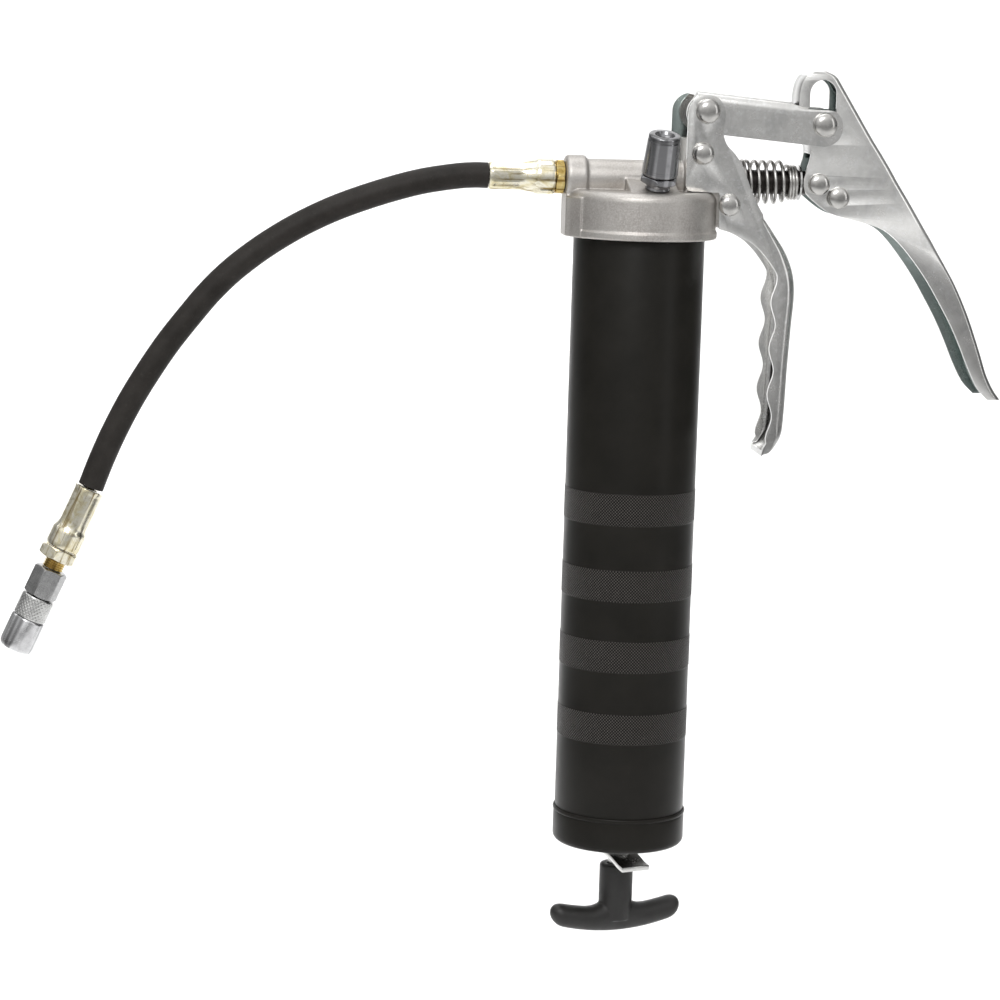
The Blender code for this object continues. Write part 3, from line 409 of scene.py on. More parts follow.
# painted shade: a dark teal copy of the zinc for the inner faces of the channels
PAINTED_SHADE_INNER_ZINC = zinc_finish("zinc_plate_painted_shade_inside", 0.42, (0.88, 1.02, 1.0))
CAST = cast_finish()
ENAMEL = enamel_finish("black_enamel")
KNURL = enamel_finish("knurled_enamel", True)
PLASTIC = plastic_finish()
HOSE = hose_finish()
RUBBER = rubber_finish()
GOLD = yellow_finish("yellow_zinc", False)
PALE_GOLD = yellow_finish("yellow_zinc_pale", True)
STEEL = steel_finish("bright_steel", (0.62, 0.62, 0.61), 0.22, 0.02)
TURNED = steel_finish("turned_steel", (0.74, 0.74, 0.75), 0.22, 0.02, 0.34)
NUT_STEEL = steel_finish("nut_steel", (0.42, 0.42, 0.42), 0.28, 0.01)
FILLER_STEEL = steel_finish("filler_steel", (0.33, 0.33, 0.34), 0.17, 0.0, 0.55)
RIVET = steel_finish("rivet_steel", (0.60, 0.59, 0.57), 0.20, 0.0)
DARK_STEEL = steel_finish("blackened_steel", (0.045, 0.04, 0.038), 0.36, 0.02)
SPRING = spring_finish()


# ---------------- mesh tools
def turned_mesh(profile, segments):
    """Turn (radius, height) points about Z. Closed: the profile's ends are on the axis or meet."""
    mesh = bmesh.new()
    rings = []
    for radius, height in profile:
        if radius <= 0:
            rings.append([mesh.verts.new((0, 0, height))])
            continue
        rings.append([mesh.verts.new((radius * math.cos(2 * math.pi * i / segments),
                                      radius * math.sin(2 * math.pi * i / segments), height))
                      for i in range(segments)])
    on_axis = len(rings[0]) == 1
    pairs = list(zip(rings, rings[1:])) + ([] if on_axis else [(rings[-1], rings[0])])
    for low, high in pairs:
        for i in range(segments):
            j = (i + 1) % segments
            corners = [low[i % len(low)], low[j % len(low)], high[j % len(high)], high[i % len(high)]]
            face = [v for k, v in enumerate(corners) if v not in corners[:k]]
            if len(face) > 2:
                mesh.faces.new(face)
    bmesh.ops.recalc_face_normals(mesh, faces=mesh.faces)
    return mesh


def loft_mesh(sections):
    """Join rings of as many points each, and close both ends."""
    mesh = bmesh.new()
    rings = [[mesh.verts.new(p) for p in section] for section in sections]
    for low, high in zip(rings, rings[1:]):
        for i in range(len(low)):
            j = (i + 1) % len(low)
            mesh.faces.new((low[i], low[j], high[j], high[i]))
    mesh.faces.new(rings[0])
    mesh.faces.new(list(reversed(rings[-1])))
    bmesh.ops.recalc_face_normals(mesh, faces=mesh.faces)
    return mesh


def rounded_prism(outline, rounded, half_width, radius, steps):
    """Extrude an (x, z) outline to y = +-half_width; the long edges through the points whose
    numbers are in rounded get round corners, in full or by the share a dict gives."""
    shares = rounded if isinstance(rounded, dict) else dict.fromkeys(rounded, 1.0)
    count = len(outline)
    normals = []
    for i in range(count):
        run = Vector(outline[(i + 1) % count]) - Vector(outline[i - 1])
        run.normalize()
        normals.append(Vector((run.y, -run.x)) * shares.get(i, 0.0))
    turns = [math.pi / 2 * i / steps for i in range(steps + 1)]
    levels = [(half_width - radius * (1 - math.sin(a)), radius * (1 - math.cos(a))) for a in turns]
    return loft_mesh([[Vector((p[0] + n.x * inset, y, p[1] + n.y * inset))
                       for p, n in zip(outline, normals)]
                      for y, inset in [(-y, inset) for y, inset in reversed(levels)] + levels])


def smooth_line(points, steps):
    points = [Vector(p) for p in points]
    padded = [2 * points[0] - points[1], *points, 2 * points[-1] - points[-2]]
    line = []
    for before, start, end, after in zip(padded, padded[1:], padded[2:], padded[3:]):
        for step in range(steps):
            t = step / steps
            line.append(0.5 * (2 * start + (end - before) * t
                               + (2 * before - 5 * start + 4 * end - after) * t ** 2
                               + (3 * start - 3 * end + after - before) * t ** 3))
    return line + [points[-1]]


def arc(centre, radius, start, end, steps):
    angles = [math.radians(start + (end - start) * i / steps) for i in range(steps + 1)]
    return [(centre[0] + radius * math.cos(a), centre[1] + radius * math.sin(a)) for a in angles]


def offset_line(line, distance):
    moved = []
    for i, point in enumerate(line):
        run = Vector(line[min(i + 1, len(line) - 1)]) - Vector(line[max(i - 1, 0)])
        run.normalize()
        moved.append((point[0] + run.y * distance, point[1] - run.x * distance))
    return moved


def lifted(line):
    return [(p[0], p[1] + PUMP_Z) for p in line]


def across(outline, half):
    """A slab from y = -half to half with an (x, z) outline; its heights count from the pump."""
    return loft_mesh([[Vector((x, y, z)) for x, z in lifted(outline)] for y in (-half, half)])


def turn_to(direction):
    """The turn that brings the Z axis to a direction, as the frame's own turned pieces have it."""
    axis = Vector(direction).normalized()
    return axis.to_track_quat("Z", "Y").to_matrix().to_4x4() if axis.z < 0.9999 else Matrix()


def add_object(name, data, finish, place=(0, 0, 0), direction=(0, 0, 1)):
    obj = bpy.data.objects.new(name, data)
    bpy.context.collection.objects.link(obj)
    obj.matrix_world = Matrix.Translation(Vector(place) * MM) @ turn_to(direction)
    if finish:
        data.materials.append(finish)
    return obj


def to_mesh(name, mesh, finish, place=(0, 0, 0), direction=(0, 0, 1)):
    """Make an object of a bmesh in millimetres."""
    bmesh.ops.scale(mesh, vec=(MM, MM, MM), verts=mesh.verts)
    data = bpy.data.meshes.new(name)
    mesh.to_mesh(data)
    mesh.free()
    return add_object(name, data, finish, place, direction)


def soften(obj, width=0.0, angle=34.0):
    """Round the sharp edges by width mm and shade the rest smooth; modifiers are applied."""
    if width:
        bevel = obj.modifiers.new("edges", "BEVEL")
        bevel.width = width * MM
        bevel.segments = 2
        bevel.limit_method = "ANGLE"
        bevel.angle_limit = math.radians(30)
        bevel.miter_outer = "MITER_ARC"
    apply_modifiers(obj)
    mesh = obj.data
    mesh.shade_smooth()
    mesh.set_sharp_from_angle(angle=math.radians(angle))


def apply_modifiers(obj):
    bpy.context.view_layer.update()
    graph = bpy.context.evaluated_depsgraph_get()
    mesh = bpy.data.meshes.new_from_object(obj.evaluated_get(graph), preserve_all_data_layers=True,
                                           depsgraph=graph)
    obj.modifiers.clear()
    old = obj.data
    obj.data = mesh
    if isinstance(old, bpy.types.Mesh) and old.users == 0:
        bpy.data.meshes.remove(old)


def cut(obj, tools, operation="DIFFERENCE"):
    """Cut tools out of obj, or join them to it, one after the other, and drop them. The faces
    that a tool with a finish leaves take that finish."""
    for tool in tools:
        modifier = obj.modifiers.new(tool.name, "BOOLEAN")
        modifier.operation = operation
        modifier.object = tool
        modifier.solver = "EXACT"
        if tool.data.materials:
            modifier.material_mode = "TRANSFER"
    apply_modifiers(obj)
    for tool in tools:
        bpy.data.objects.remove(tool)


def peg(radius, start, end, segments=48):
    along = Vector(end) - Vector(start)
    profile = ((0, 0), (radius, 0), (radius, along.length), (0, along.length))
    return to_mesh("tool", turned_mesh(profile, segments), None, start, along)


def pin_peg(pin):
    """A peg to cut a pin's hole through everything along Y."""
    return peg(PIN_HOLE_R, (pin[0], 30, PUMP_Z + pin[1]), (pin[0], -30, PUMP_Z + pin[1]))


def place(obj, body, slot, node):
    """Say which body a piece rides and which node it stands for; slot is not used."""
    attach(obj, body)
    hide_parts(node)
    return obj


def turned(name, profile, finish, body, slot, node, centre=(0, 0, 0), direction=(0, 0, 1),
           segments=96, edge=0.0, angle=34.0):
    obj = to_mesh(name, turned_mesh(profile, segments), finish, centre, direction)
    soften(obj, edge, angle)
    return place(obj, body, slot, node)


# ---------------- hose, and the pieces on it
HOSE_ROUTE = (
    (-66.3, 0.0), (-72.0, 0.0), (-80.0, -0.7), (-95.2, -3.4), (-112.0, -8.3), (-129.1, -14.6),
    (-143.0, -21.2), (-154.3, -27.8), (-165.0, -35.2), (-175.2, -43.6), (-184.0, -52.6),
    (-191.8, -62.2), (-200.5, -73.6), (-208.3, -85.4), (-216.0, -98.4), (-222.8, -111.9),
    (-228.2, -124.4), (-232.7, -136.4),
)
FAR_START = (-233.0, 0.0, -137.1 + PUMP_Z)
FAR_AXIS = Vector((-0.409, 0.0, -0.912)).normalized()
CRIMP_DEPTH = 0.055


def hexagon_nut(name, radius, low, high, chamfer, finish, slot, node, centre, direction, hole, turn):
    """A drilled hexagon whose corners are turned off at both ends."""
    corners = arc((0, 0), radius, turn, turn + 360, 6)
    sides = [(a[0] + (b[0] - a[0]) * k / 8, a[1] + (b[1] - a[1]) * k / 8)
             for a, b in zip(corners, corners[1:]) for k in range(8)]
    flat = radius * math.cos(math.pi / 6)

    def ring(limit, z):
        return [Vector((x, y, 0)) * min(1.0, limit / math.hypot(x, y)) + Vector((0, 0, z))
                for x, y in sides]

    drop = (radius - flat) * 0.577
    levels = [(flat - chamfer, low)]
    for k in range(7):
        share = k / 6
        levels.append((flat + (radius - flat) * share, low + chamfer * 0.577 + drop * share))
    top = [(limit, high + low - z) for limit, z in reversed(levels)]
    obj = to_mesh(name, loft_mesh([ring(limit, z) for limit, z in levels + top]), finish, centre,
                  direction)
    centre, along = Vector(centre), Vector(direction).normalized()
    cut(obj, [peg(hole, centre + along * (low - 2), centre + along * (high + 2))])
    soften(obj, 0.12, 30.0)
    return place(obj, "gun", slot, node)


def swell(mesh, share_at):
    """Move every point in or out by the share that share_at gives for its radius, turn and height."""
    for vert in mesh.verts:
        share = share_at(math.hypot(vert.co.x, vert.co.y), math.atan2(vert.co.y, vert.co.x), vert.co.z)
        vert.co.x *= share
        vert.co.y *= share
    return mesh


def between(profile, step):
    """Add points along a profile so that none is further than step from the next."""
    dense = []
    for start, end in zip(profile, profile[1:]):
        count = max(1, int(math.dist(start, end) / step))
        dense += [(start[0] + (end[0] - start[0]) * k / count,
                   start[1] + (end[1] - start[1]) * k / count) for k in range(count)]
    return dense + [profile[-1]]


def ferrule(name, profile, faceted, node, centre, direction):
    """A turned ferrule whose stretch between two heights is pressed flat on eight sides."""
    low, high = faceted
    sector = math.pi / 4

    def share_at(radius, angle, height):
        if radius < 5.4 or not low - 2.0 < height < high + 2.0:
            return 1.0
        fade = min(1.0, (height - low + 2.0) / 2.0, (high + 2.0 - height) / 2.0)
        flat = math.cos(sector / 2) / math.cos((angle + math.pi / 8) % sector - sector / 2)
        return 1.0 - fade * CRIMP_DEPTH * (1.0 - flat) / (1.0 - math.cos(sector / 2))

    mesh = swell(turned_mesh(between(profile, 1.0), 96), share_at)
    obj = to_mesh(name, mesh, PALE_GOLD, centre, direction)
    soften(obj, 0.0, 28.0)
    return place(obj, "gun", "yellow_zinc", node)


def make_hose():
    route = [Vector((x, 0, z + PUMP_Z)) * MM for x, z in HOSE_ROUTE]
    curve = bpy.data.curves.new("hose_cover", "CURVE")
    curve.dimensions = "3D"
    curve.bevel_depth = HOSE_R * MM
    curve.bevel_resolution = 10
    curve.use_fill_caps = True
    line = smooth_line(route, 7)
    spline = curve.splines.new("POLY")
    spline.points.add(len(line) - 1)
    for point, where in zip(spline.points, line):
        point.co = (*where, 1.0)
    spline.use_smooth = True
    hose = add_object("hose_cover", curve, HOSE)
    place(hose, "gun", "hose_rubber", "hose")
    length = sum((b - a).length for a, b in zip(line, line[1:]))
    return hose, line, length


def make_far_end():
    """The far ferrule, its nut, the threaded stub and the coupler."""
    shell = ((3.2, 0.2), (5.55, 0.2), (6.3, 0.3), (6.5, 0.9), (6.5, 17.6), (6.5, 18.6), (7.0, 19.6),
             (7.4, 20.4), (7.45, 27.0), (7.2, 27.9), (6.8, 28.2), (3.2, 28.2))
    pieces = [ferrule("far_ferrule", shell, (2.0, 16.5), "hose_ferrule_far", FAR_START, FAR_AXIS)]
    pieces.append(hexagon_nut("far_nut", 8.9, 28.6, 33.6, 0.1, PALE_GOLD, "yellow_zinc", "hose_nut",
                              FAR_START, FAR_AXIS, 5.3, 12))
    thread = [(1.6, 29.2), (4.55, 29.2)]
    for k in range(9):
        thread += [(4.58, 29.4 + k), (4.58, 29.65 + k), (4.05, 29.95 + k), (4.05, 30.15 + k)]
    thread += [(4.3, 38.0), (1.6, 38.0)]
    pieces.append(turned("coupler_thread", thread, GOLD, "gun", "bright_steel", "coupler_stub",
                         FAR_START, FAR_AXIS, 64))
    pieces.append(hexagon_nut("coupler_hexagon", 7.4, 38.4, 51.4, 0.35, NUT_STEEL, "bright_steel",
                              "coupler_body", FAR_START, FAR_AXIS, 1.8, 22))
    sleeve = [(5.4, 51.7), (6.75, 51.7), (7.1, 52.2), (7.15, 61.0), (6.9, 61.5), (5.4, 61.5)]

    def knurl(radius, angle, height):
        if radius < 6.9 or not 52.2 < height < 61.1:
            return 1.0
        one, other = (math.sin(angle * 24 + way * height * 3.2) for way in (1, -1))
        return 1.0 + 0.012 * (min(one, other) - 0.4)

    mesh = swell(turned_mesh(between(sleeve, 0.22), 264), knurl)
    pieces.append(to_mesh("coupler_knurl", mesh, STEEL, FAR_START, FAR_AXIS))
    soften(pieces[-1], 0.0, 50.0)
    place(pieces[-1], "gun", "bright_steel", "coupler_sleeve")
    nose = ((5.9, 61.8), (7.0, 61.8), (7.3, 62.1), (7.45, 62.6), (7.45, 72.9), (7.3, 74.6), (7.0, 75.6),
            (6.5, 76.2), (6.2, 76.4), (5.6, 76.4), (5.6, 62.6))
    pieces.append(turned("coupler_tip", nose, TURNED, "gun", "bright_steel", "coupler_nose",
                         FAR_START, FAR_AXIS, 96, 0.08))
    return pieces


hose, hose_line, hose_length = make_hose()
far_pieces = make_far_end()


# ---------------- barrel, cap and gasket
KNURL_BANDS = ((54.5, 41.0), (21.5, 8.0), (-9.5, -23.0), (-41.5, -54.5))


def make_barrel():
    top = HEAD_EDGE_Z + HEAD_SOCKET_DEPTH - 2.5
    bottom = CAP_RIM_Z - CAP_HEIGHT + 2.0
    inner = BARREL_R - BARREL_WALL
    outer = [(BARREL_R - 0.15, top), (BARREL_R, top - 0.3)]
    bands = []
    for high, low in KNURL_BANDS:
        outer += [(BARREL_R, high + 0.5), (BARREL_R + 0.02, high + 0.05), (BARREL_R + 0.16, high - 0.12),
                  (BARREL_R + 0.16, low + 0.12), (BARREL_R + 0.02, low - 0.05), (BARREL_R, low - 0.5)]
        bands.append((low, high))
    outer += [(BARREL_R, bottom + 0.3), (BARREL_R - 0.15, bottom)]
    profile = [(inner, bottom), (inner, top), *outer]
    obj = to_mesh("barrel_shell", turned_mesh(profile, 160), ENAMEL)
    obj.data.materials.append(KNURL)
    for face in obj.data.polygons:
        height = face.center.z / MM
        radius = math.hypot(face.center.x, face.center.y) / MM
        if radius > BARREL_R + 0.05 and any(low < height < high for low, high in bands):
            face.material_index = 1
    soften(obj, 0.0, 40.0)
    place(obj, "gun", "black_enamel", "barrel_tube")


def make_cap():
    bottom = CAP_RIM_Z - CAP_HEIGHT
    inner = BARREL_R + GAP
    hole = ROD_R + 2.4
    profile = [(inner, CAP_RIM_Z - 0.1)]
    profile += [(CAP_R - 0.55 + 0.5 * math.sin(a), CAP_RIM_Z - 0.9 + 0.9 * math.cos(a))
                for a in (math.radians(d) for d in range(0, 181, 20))]
    profile += [(CAP_R - 0.45, CAP_RIM_Z - 2.3), (CAP_R - 0.35, CAP_RIM_Z - 3.0),
                (CAP_R - 0.35, bottom + 3.4)]
    profile += [(CAP_R - 3.4 + 3.05 * math.cos(a), bottom + 3.1 - 3.1 * math.sin(a))
                for a in (math.radians(d) for d in range(10, 91, 10))]
    profile += [(20.0, bottom - 0.7), (15.0, bottom - 1.3), (12.0, bottom - 1.55),
                (hole + 0.3, bottom - CAP_DISH), (hole, bottom - 1.3), (hole, bottom + 1.5 - CAP_DISH),
                (12.0, bottom + 1.5 - CAP_DISH), (inner - 0.4, bottom + 1.5), (inner, bottom + 1.9)]
    turned("cap_shell", profile, ENAMEL, "gun", "black_enamel", "end_cap", segments=160, angle=40.0)


make_barrel()
make_cap()


# ---------------- cast pump head
EAR_OUTLINE = (
    (17.6, -10.0), (17.6, 18.0), (29.6, 18.0), (34.2, 13.0), (38.4, 8.6), (41.2, 5.5),
    (41.2, -11.6), (38.6, -17.0), (34.0, -19.2), (26.0, -19.2),
)
EAR_W = BRACKET_W - 2 * BRACKET_T - 2 * GAP
FILLER_BASE = Vector((4.1, -18.5, HEAD_EDGE_Z + HEAD_HEIGHT + 1.6))
FILLER_AXIS = Vector((0.05, -0.30, 0.953)).normalized()


def remesh(obj, voxel, rounds):
    """Melt a union of solids into one skin and soften its corners as a casting's."""
    modifier = obj.modifiers.new("melt", "REMESH")
    modifier.mode = "VOXEL"
    modifier.voxel_size = voxel * MM
    smooth = obj.modifiers.new("soften", "SMOOTH")
    smooth.factor = 0.5
    smooth.iterations = rounds
    apply_modifiers(obj)


def make_head():
    top = HEAD_EDGE_Z + HEAD_HEIGHT
    grow = 0.12
    skirt = ((0, HEAD_EDGE_Z), (HEAD_R - 0.6, HEAD_EDGE_Z), (HEAD_R, HEAD_EDGE_Z + 0.6),
             (HEAD_R, HEAD_EDGE_Z + 3.0), (HEAD_R - 0.6, HEAD_EDGE_Z + 3.6), (HEAD_R - 0.6, top - 3.4),
             (HEAD_R - 0.9, top - 2.0), (HEAD_R - 1.7, top - 0.9), (HEAD_R - 3.2, top), (0, top))
    head = to_mesh("head_casting", turned_mesh(skirt, 160), CAST)
    body = ((0, 33.3), (8.2, 33.3), (9.2, 32.8), (9.7, 31.8), (9.7, 25.2), (9.2, 24.4), (8.1 + grow, 23.8),
            (8.1 + grow, -30.0), (0, -30.0))
    tools = [to_mesh("body", turned_mesh(body, 96), None, PUMP_AXIS_POINT, OUTLET)]
    tools.append(to_mesh("ear", across(EAR_OUTLINE, EAR_W / 2), None))
    lug = [(-HEAD_R - 0.05, 6.6), (-HEAD_R - 0.05, -6.6), (-31.9, -11.5), (-28.4, -18.3), (-20.0, -14.0),
           (-20.0, 14.0), (-28.4, 18.3), (-31.9, 11.5)]
    tools.append(to_mesh("lug", loft_mesh([[Vector((x, y, z)) for x, y in lug]
                                           for z in (HEAD_EDGE_Z + 0.1, PUMP_Z - 7.5)]), None))
    rib = [(-HEAD_R, 0), (-HEAD_R, -23.5), (-24.0, -23.5), (-24.0, 0)]
    tools.append(to_mesh("rib", across(rib, 7.4), None))
    pad = ((0, -7.5), (6.6, -7.5), (6.4, -0.6), (6.0, -0.05), (0, -0.05))
    tools.append(to_mesh("pad", turned_mesh(pad, 64), None, FILLER_BASE, FILLER_AXIS))
    seat = FILLER_BASE - FILLER_AXIS * 0.2
    plinth = [(-7.9, -25.6), (-2.0, -27.6), (9.0, -27.0), (13.4, -23.0), (13.4, -6.2), (-7.9, -6.2)]
    levels = [[Vector((x, y, top - 3.0)) for x, y in plinth], []]
    for x, y in plinth:
        drop = FILLER_AXIS.x * (x - seat.x) + FILLER_AXIS.y * (y - seat.y)
        levels[1].append(Vector((x, y, seat.z - drop / FILLER_AXIS.z)))
    tools.append(to_mesh("plinth", loft_mesh(levels), None))
    cut(head, tools, "UNION")
    remesh(head, 0.40, 4)

    socket = ((0, HEAD_EDGE_Z - 5), (BARREL_R + 0.4, HEAD_EDGE_Z - 5),
              (BARREL_R + 0.4, HEAD_EDGE_Z + HEAD_SOCKET_DEPTH), (0, HEAD_EDGE_Z + HEAD_SOCKET_DEPTH))
    bore = ((0, -41), (6.3, -41), (6.3, -24), (4.6, -23.4), (4.6, -12.6), (2.2, -12), (2.2, -9),
            (5.5, -8), (5.5, 50), (0, 50))
    port = FILLER_BASE - FILLER_AXIS * 6.0
    cuts = [to_mesh("socket", turned_mesh(socket, 160), None),
            to_mesh("bore", turned_mesh(bore, 48), None, PUMP_AXIS_POINT, (1, 0, 0)),
            pin_peg(BRACKET_UPPER), pin_peg(BRACKET_LOWER),
            peg(4.5, port, FILLER_BASE + FILLER_AXIS * 6.0)]
    cut(head, cuts)
    soften(head, 0.0, 60.0)
    place(head, "gun", "cast_metal", "pump_head")


make_head()


# ---------------- filler nipple
def make_filler():
    hexagon_nut("filler_hexagon", 8.6, 3.3, 6.4, 0.2, FILLER_STEEL, "bright_steel", "filler_hex",
                FILLER_BASE, FILLER_AXIS, 2.2, 8)
    neck = ((2.2, -5.0), (4.0, -5.0), (4.0, 0.2), (5.3, 0.25), (5.5, 0.7), (5.0, 1.5), (5.1, 3.2),
            (2.2, 3.2))
    obj = to_mesh("filler_neck", turned_mesh(neck, 64), FILLER_STEEL, FILLER_BASE, FILLER_AXIS)
    soften(obj, 0.1)
    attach(obj, "gun")
    cone = [(3.4, 7.7), (3.4, 20.0), (2.5, 21.5), (2.5, 22.5), (3.4, 23.0), (3.9, 23.7), (4.3, 24.4),
            (6.2, 24.5), (6.7, 24.3), (7.0, 23.7)]
    cone += [(6.85, 22.6), (7.0, 22.2)]
    for k in range(44):
        height = 21.9 - k * 0.3
        radius = 7.04 + (23.7 - height) * 0.042
        depth = 0.035 if 9.5 < height < 16.5 else 0.006
        cone += [(radius, height), (radius - depth, height - 0.15)]
    cone += [(7.7, 8.4), (7.75, 7.4), (7.5, 6.8), (7.0, 6.6), (2.0, 6.6), (2.0, 7.7)]
    turned("filler_cone", cone, FILLER_STEEL, "gun", "bright_steel", "filler_body", FILLER_BASE,
           FILLER_AXIS, 96, 0.0, 50.0)
    ball = [(0, -2.9)] + [(2.9 * math.sin(a), -2.9 * math.cos(a))
                          for a in (math.pi * i / 20 for i in range(1, 20))] + [(0, 2.9)]
    turned("filler_bead", ball, RIVET, "filler_valve", "bright_steel", "filler_ball",
           FILLER_BASE + FILLER_AXIS * 19.4, FILLER_AXIS, 40)


make_filler()


# ---------------- rivets and pins
def domed_pin(name, pin, width, body, node, dome_r=DOME_R):
    half = width / 2 + GAP
    rise = DOME_H * dome_r / DOME_R
    dome = [(dome_r * math.cos(a) ** 0.8, half + 0.3 + (rise - 0.3) * math.sin(a))
            for a in (math.radians(d) for d in (0, 10, 20, 30, 40, 50, 60, 70, 80))]
    upper = [(PIN_R, half), (dome_r - 0.2, half), *dome, (0, half + rise)]
    lower = [(r, -h) for r, h in reversed(upper)]
    turned(name, [*lower, *upper], RIVET, body, "bright_steel", node,
           (pin[0], 0, PUMP_Z + pin[1]), (0, 1, 0), 64, 0.0, 50.0)


domed_pin("rivet_upper", BRACKET_UPPER, BRACKET_W, "gun", "bracket_rivet_upper")
domed_pin("rivet_lower", BRACKET_LOWER, BRACKET_W, "gun", "bracket_rivet_lower")
domed_pin("rivet_link", (LINK_PIVOT[0] + 0.3, LINK_PIVOT[1] + 1.1), BRACKET_W, "gun",
          "link_pivot_rivet", 5.3)
domed_pin("rivet_fulcrum", (FULCRUM[0] + 0.4, FULCRUM[1] + 1.0), LINK_W, "link", "fulcrum_pin", 5.3)
domed_pin("rivet_plunger", PLUNGER_PIN, LEVER_HEAD_W, "lever", "plunger_pin")
domed_pin("rivet_lever", LEVER_RIVET, 17.8, "lever", "lever_rivet")


# ---------------- stamped bracket
GRIP_OUTER = (
    (33.2, 26.5), (32.7, 21.0), (34.3, 16.2), (38.0, 12.2), (41.6, 7.2), (43.8, 1.8), (46.2, -4.0),
    (50.4, -12.0), (56.6, -20.8), (62.6, -29.8), (66.1, -38.8), (67.1, -48.5), (66.3, -62.0),
    (65.4, -80.0), (64.8, -98.0), (64.0, -108.0), (61.6, -113.0), (58.6, -116.4), (54.6, -117.5),
)
GRIP_HEEL = (
    (57.6, -37.4), (55.2, -34.0), (51.5, -29.6), (46.6, -25.4), (39.4, -22.0), (32.6, -20.0),
    (32.1, -18.6), (32.1, -5.4), (31.4, -4.4), (20.0, -4.2), (18.0, -3.4), (17.2, -1.6),
)
GRIP_END = ((55.4, -114.2), (56.8, -112.0))
WEB_TOP = -12.6
FAR_PLATE_STEP = 3.0


def finger_edge(count):
    low, high = -110.5, -39.0
    edge = []
    for i in range(count + 1):
        z = low + (high - low) * i / count
        edge.append((57.5 + 1.15 * math.cos(2 * math.pi * (z + 40.8) / 19.9), z))
    return edge


def make_bracket():
    outer = [tuple(p) for p in smooth_line(GRIP_OUTER, 6)]
    heel = [tuple(p) for p in smooth_line(GRIP_HEEL[:6], 4)] + list(GRIP_HEEL[6:])
    outline = [*arc(LINK_PIVOT, 8.0, 180, 0, 36), *outer, *GRIP_END, *finger_edge(72), *heel]

    def share(z):
        """How much of the full round corner the web has at a height."""
        return max(0.1, min(1.0, 0.3 + (WEB_TOP - z) / 30.0, 0.1 + (z + 117.5) / 14.0))

    on_web = {i: share(p[1]) for i, p in enumerate(outline) if p in outer and p[1] < WEB_TOP - 2}
    mesh = rounded_prism(lifted(outline), on_web, BRACKET_W / 2, 5.0, 8)
    for vert in mesh.verts:
        if vert.co.y > 0 and vert.co.x < LINK_PIVOT[0]:
            vert.co.x -= FAR_PLATE_STEP
    # the bracket takes the grip zinc with painted shade towards its bottom
    bracket = to_mesh("bracket_stamping", mesh, GRIP_ZINC_PAINTED_SHADE)
    web = offset_line([p for p in outer if p[1] < WEB_TOP], BRACKET_T)
    web[-1] = (46.0, web[-1][1])
    channel = [(0, 60), (90, 60), (90, WEB_TOP), (web[0][0], WEB_TOP), *web[1:], (0, -114)]
    on_web = {i: share(channel[i][1]) for i in range(4, len(channel) - 1)}
    mesh = rounded_prism(lifted(channel), on_web, BRACKET_W / 2 - BRACKET_T, 3.1, 6)
    hollow = to_mesh("channel", mesh, GRIP_ZINC_PAINTED_SHADE)
    # painted shade: the channel's inner faces take the dark copy
    hollow.data.materials.append(PAINTED_SHADE_INNER_ZINC)
    for face in hollow.data.polygons:
        face.material_index = 1
    cut(bracket, [hollow, pin_peg(LINK_PIVOT), pin_peg(BRACKET_UPPER),
                  pin_peg(BRACKET_LOWER)])
    inside = bracket.data.materials.find(PAINTED_SHADE_INNER_ZINC.name)
    plain = bracket.data.materials.find(GRIP_ZINC_PAINTED_SHADE.name)
    # below the pump the inner faces lose the painted shade and take the plain grip zinc
    for face in bracket.data.polygons:
        if face.material_index == inside and face.center.z < (PUMP_Z - 12.0) * MM:
            face.material_index = plain
    soften(bracket, 0.32, 32.0)
    place(bracket, "gun", "zinc_plate", "grip_bracket")


make_bracket()


# ---------------- link
LINK_DOWN = 8.3
LINK_UP = 9.0
LINK_BEND = 4.0
WEB_START = -4.6
WEB_END = 37.0


def make_link():
    length = (Vector(FULCRUM) - Vector(LINK_PIVOT)).length
    slope = math.atan2(FULCRUM[1] - LINK_PIVOT[1], FULCRUM[0] - LINK_PIVOT[0])
    turn = Matrix.Rotation(-slope, 3, "Y")
    top = [(WEB_START, LINK_UP), (WEB_END - 4.0, LINK_UP), (WEB_END, LINK_UP)]
    outline = [*arc((0, 0), LINK_DOWN, 270, 140, 24), *top, (WEB_END + 2.4, LINK_UP - 0.5),
               (WEB_END + 4.4, LINK_UP - 1.3), *arc((length, 0), LINK_DOWN, 80, -90, 32)]
    on_top = {outline.index(p): 1.0 for p in top}
    after = max(on_top)
    for step, share in enumerate((0.72, 0.5, 0.36, 0.25, 0.17, 0.1, 0.05)):
        on_top[after + 1 + step] = share
    mesh = rounded_prism(outline, on_top, LINK_W / 2, LINK_BEND, 8)
    bmesh.ops.rotate(mesh, matrix=turn, verts=mesh.verts)
    origin = (LINK_PIVOT[0], 0, PUMP_Z + LINK_PIVOT[1])
    link = to_mesh("link_stamping", mesh, ZINC, origin)
    roof = LINK_UP - LINK_T
    channel = [(-30, -30), (-30, roof), (WEB_START - 0.5, roof), (WEB_END, roof), (WEB_END, 30),
               (90, 30), (90, -30)]
    mesh = rounded_prism(channel, (1, 2), LINK_W / 2 - LINK_T, LINK_BEND - LINK_T, 6)
    bmesh.ops.rotate(mesh, matrix=turn, verts=mesh.verts)
    cut(link, [to_mesh("channel", mesh, None, origin), pin_peg(LINK_PIVOT), pin_peg(FULCRUM)])
    soften(link, 0.3, 32.0)
    place(link, "link", "zinc_plate", "lever_link")


make_link()


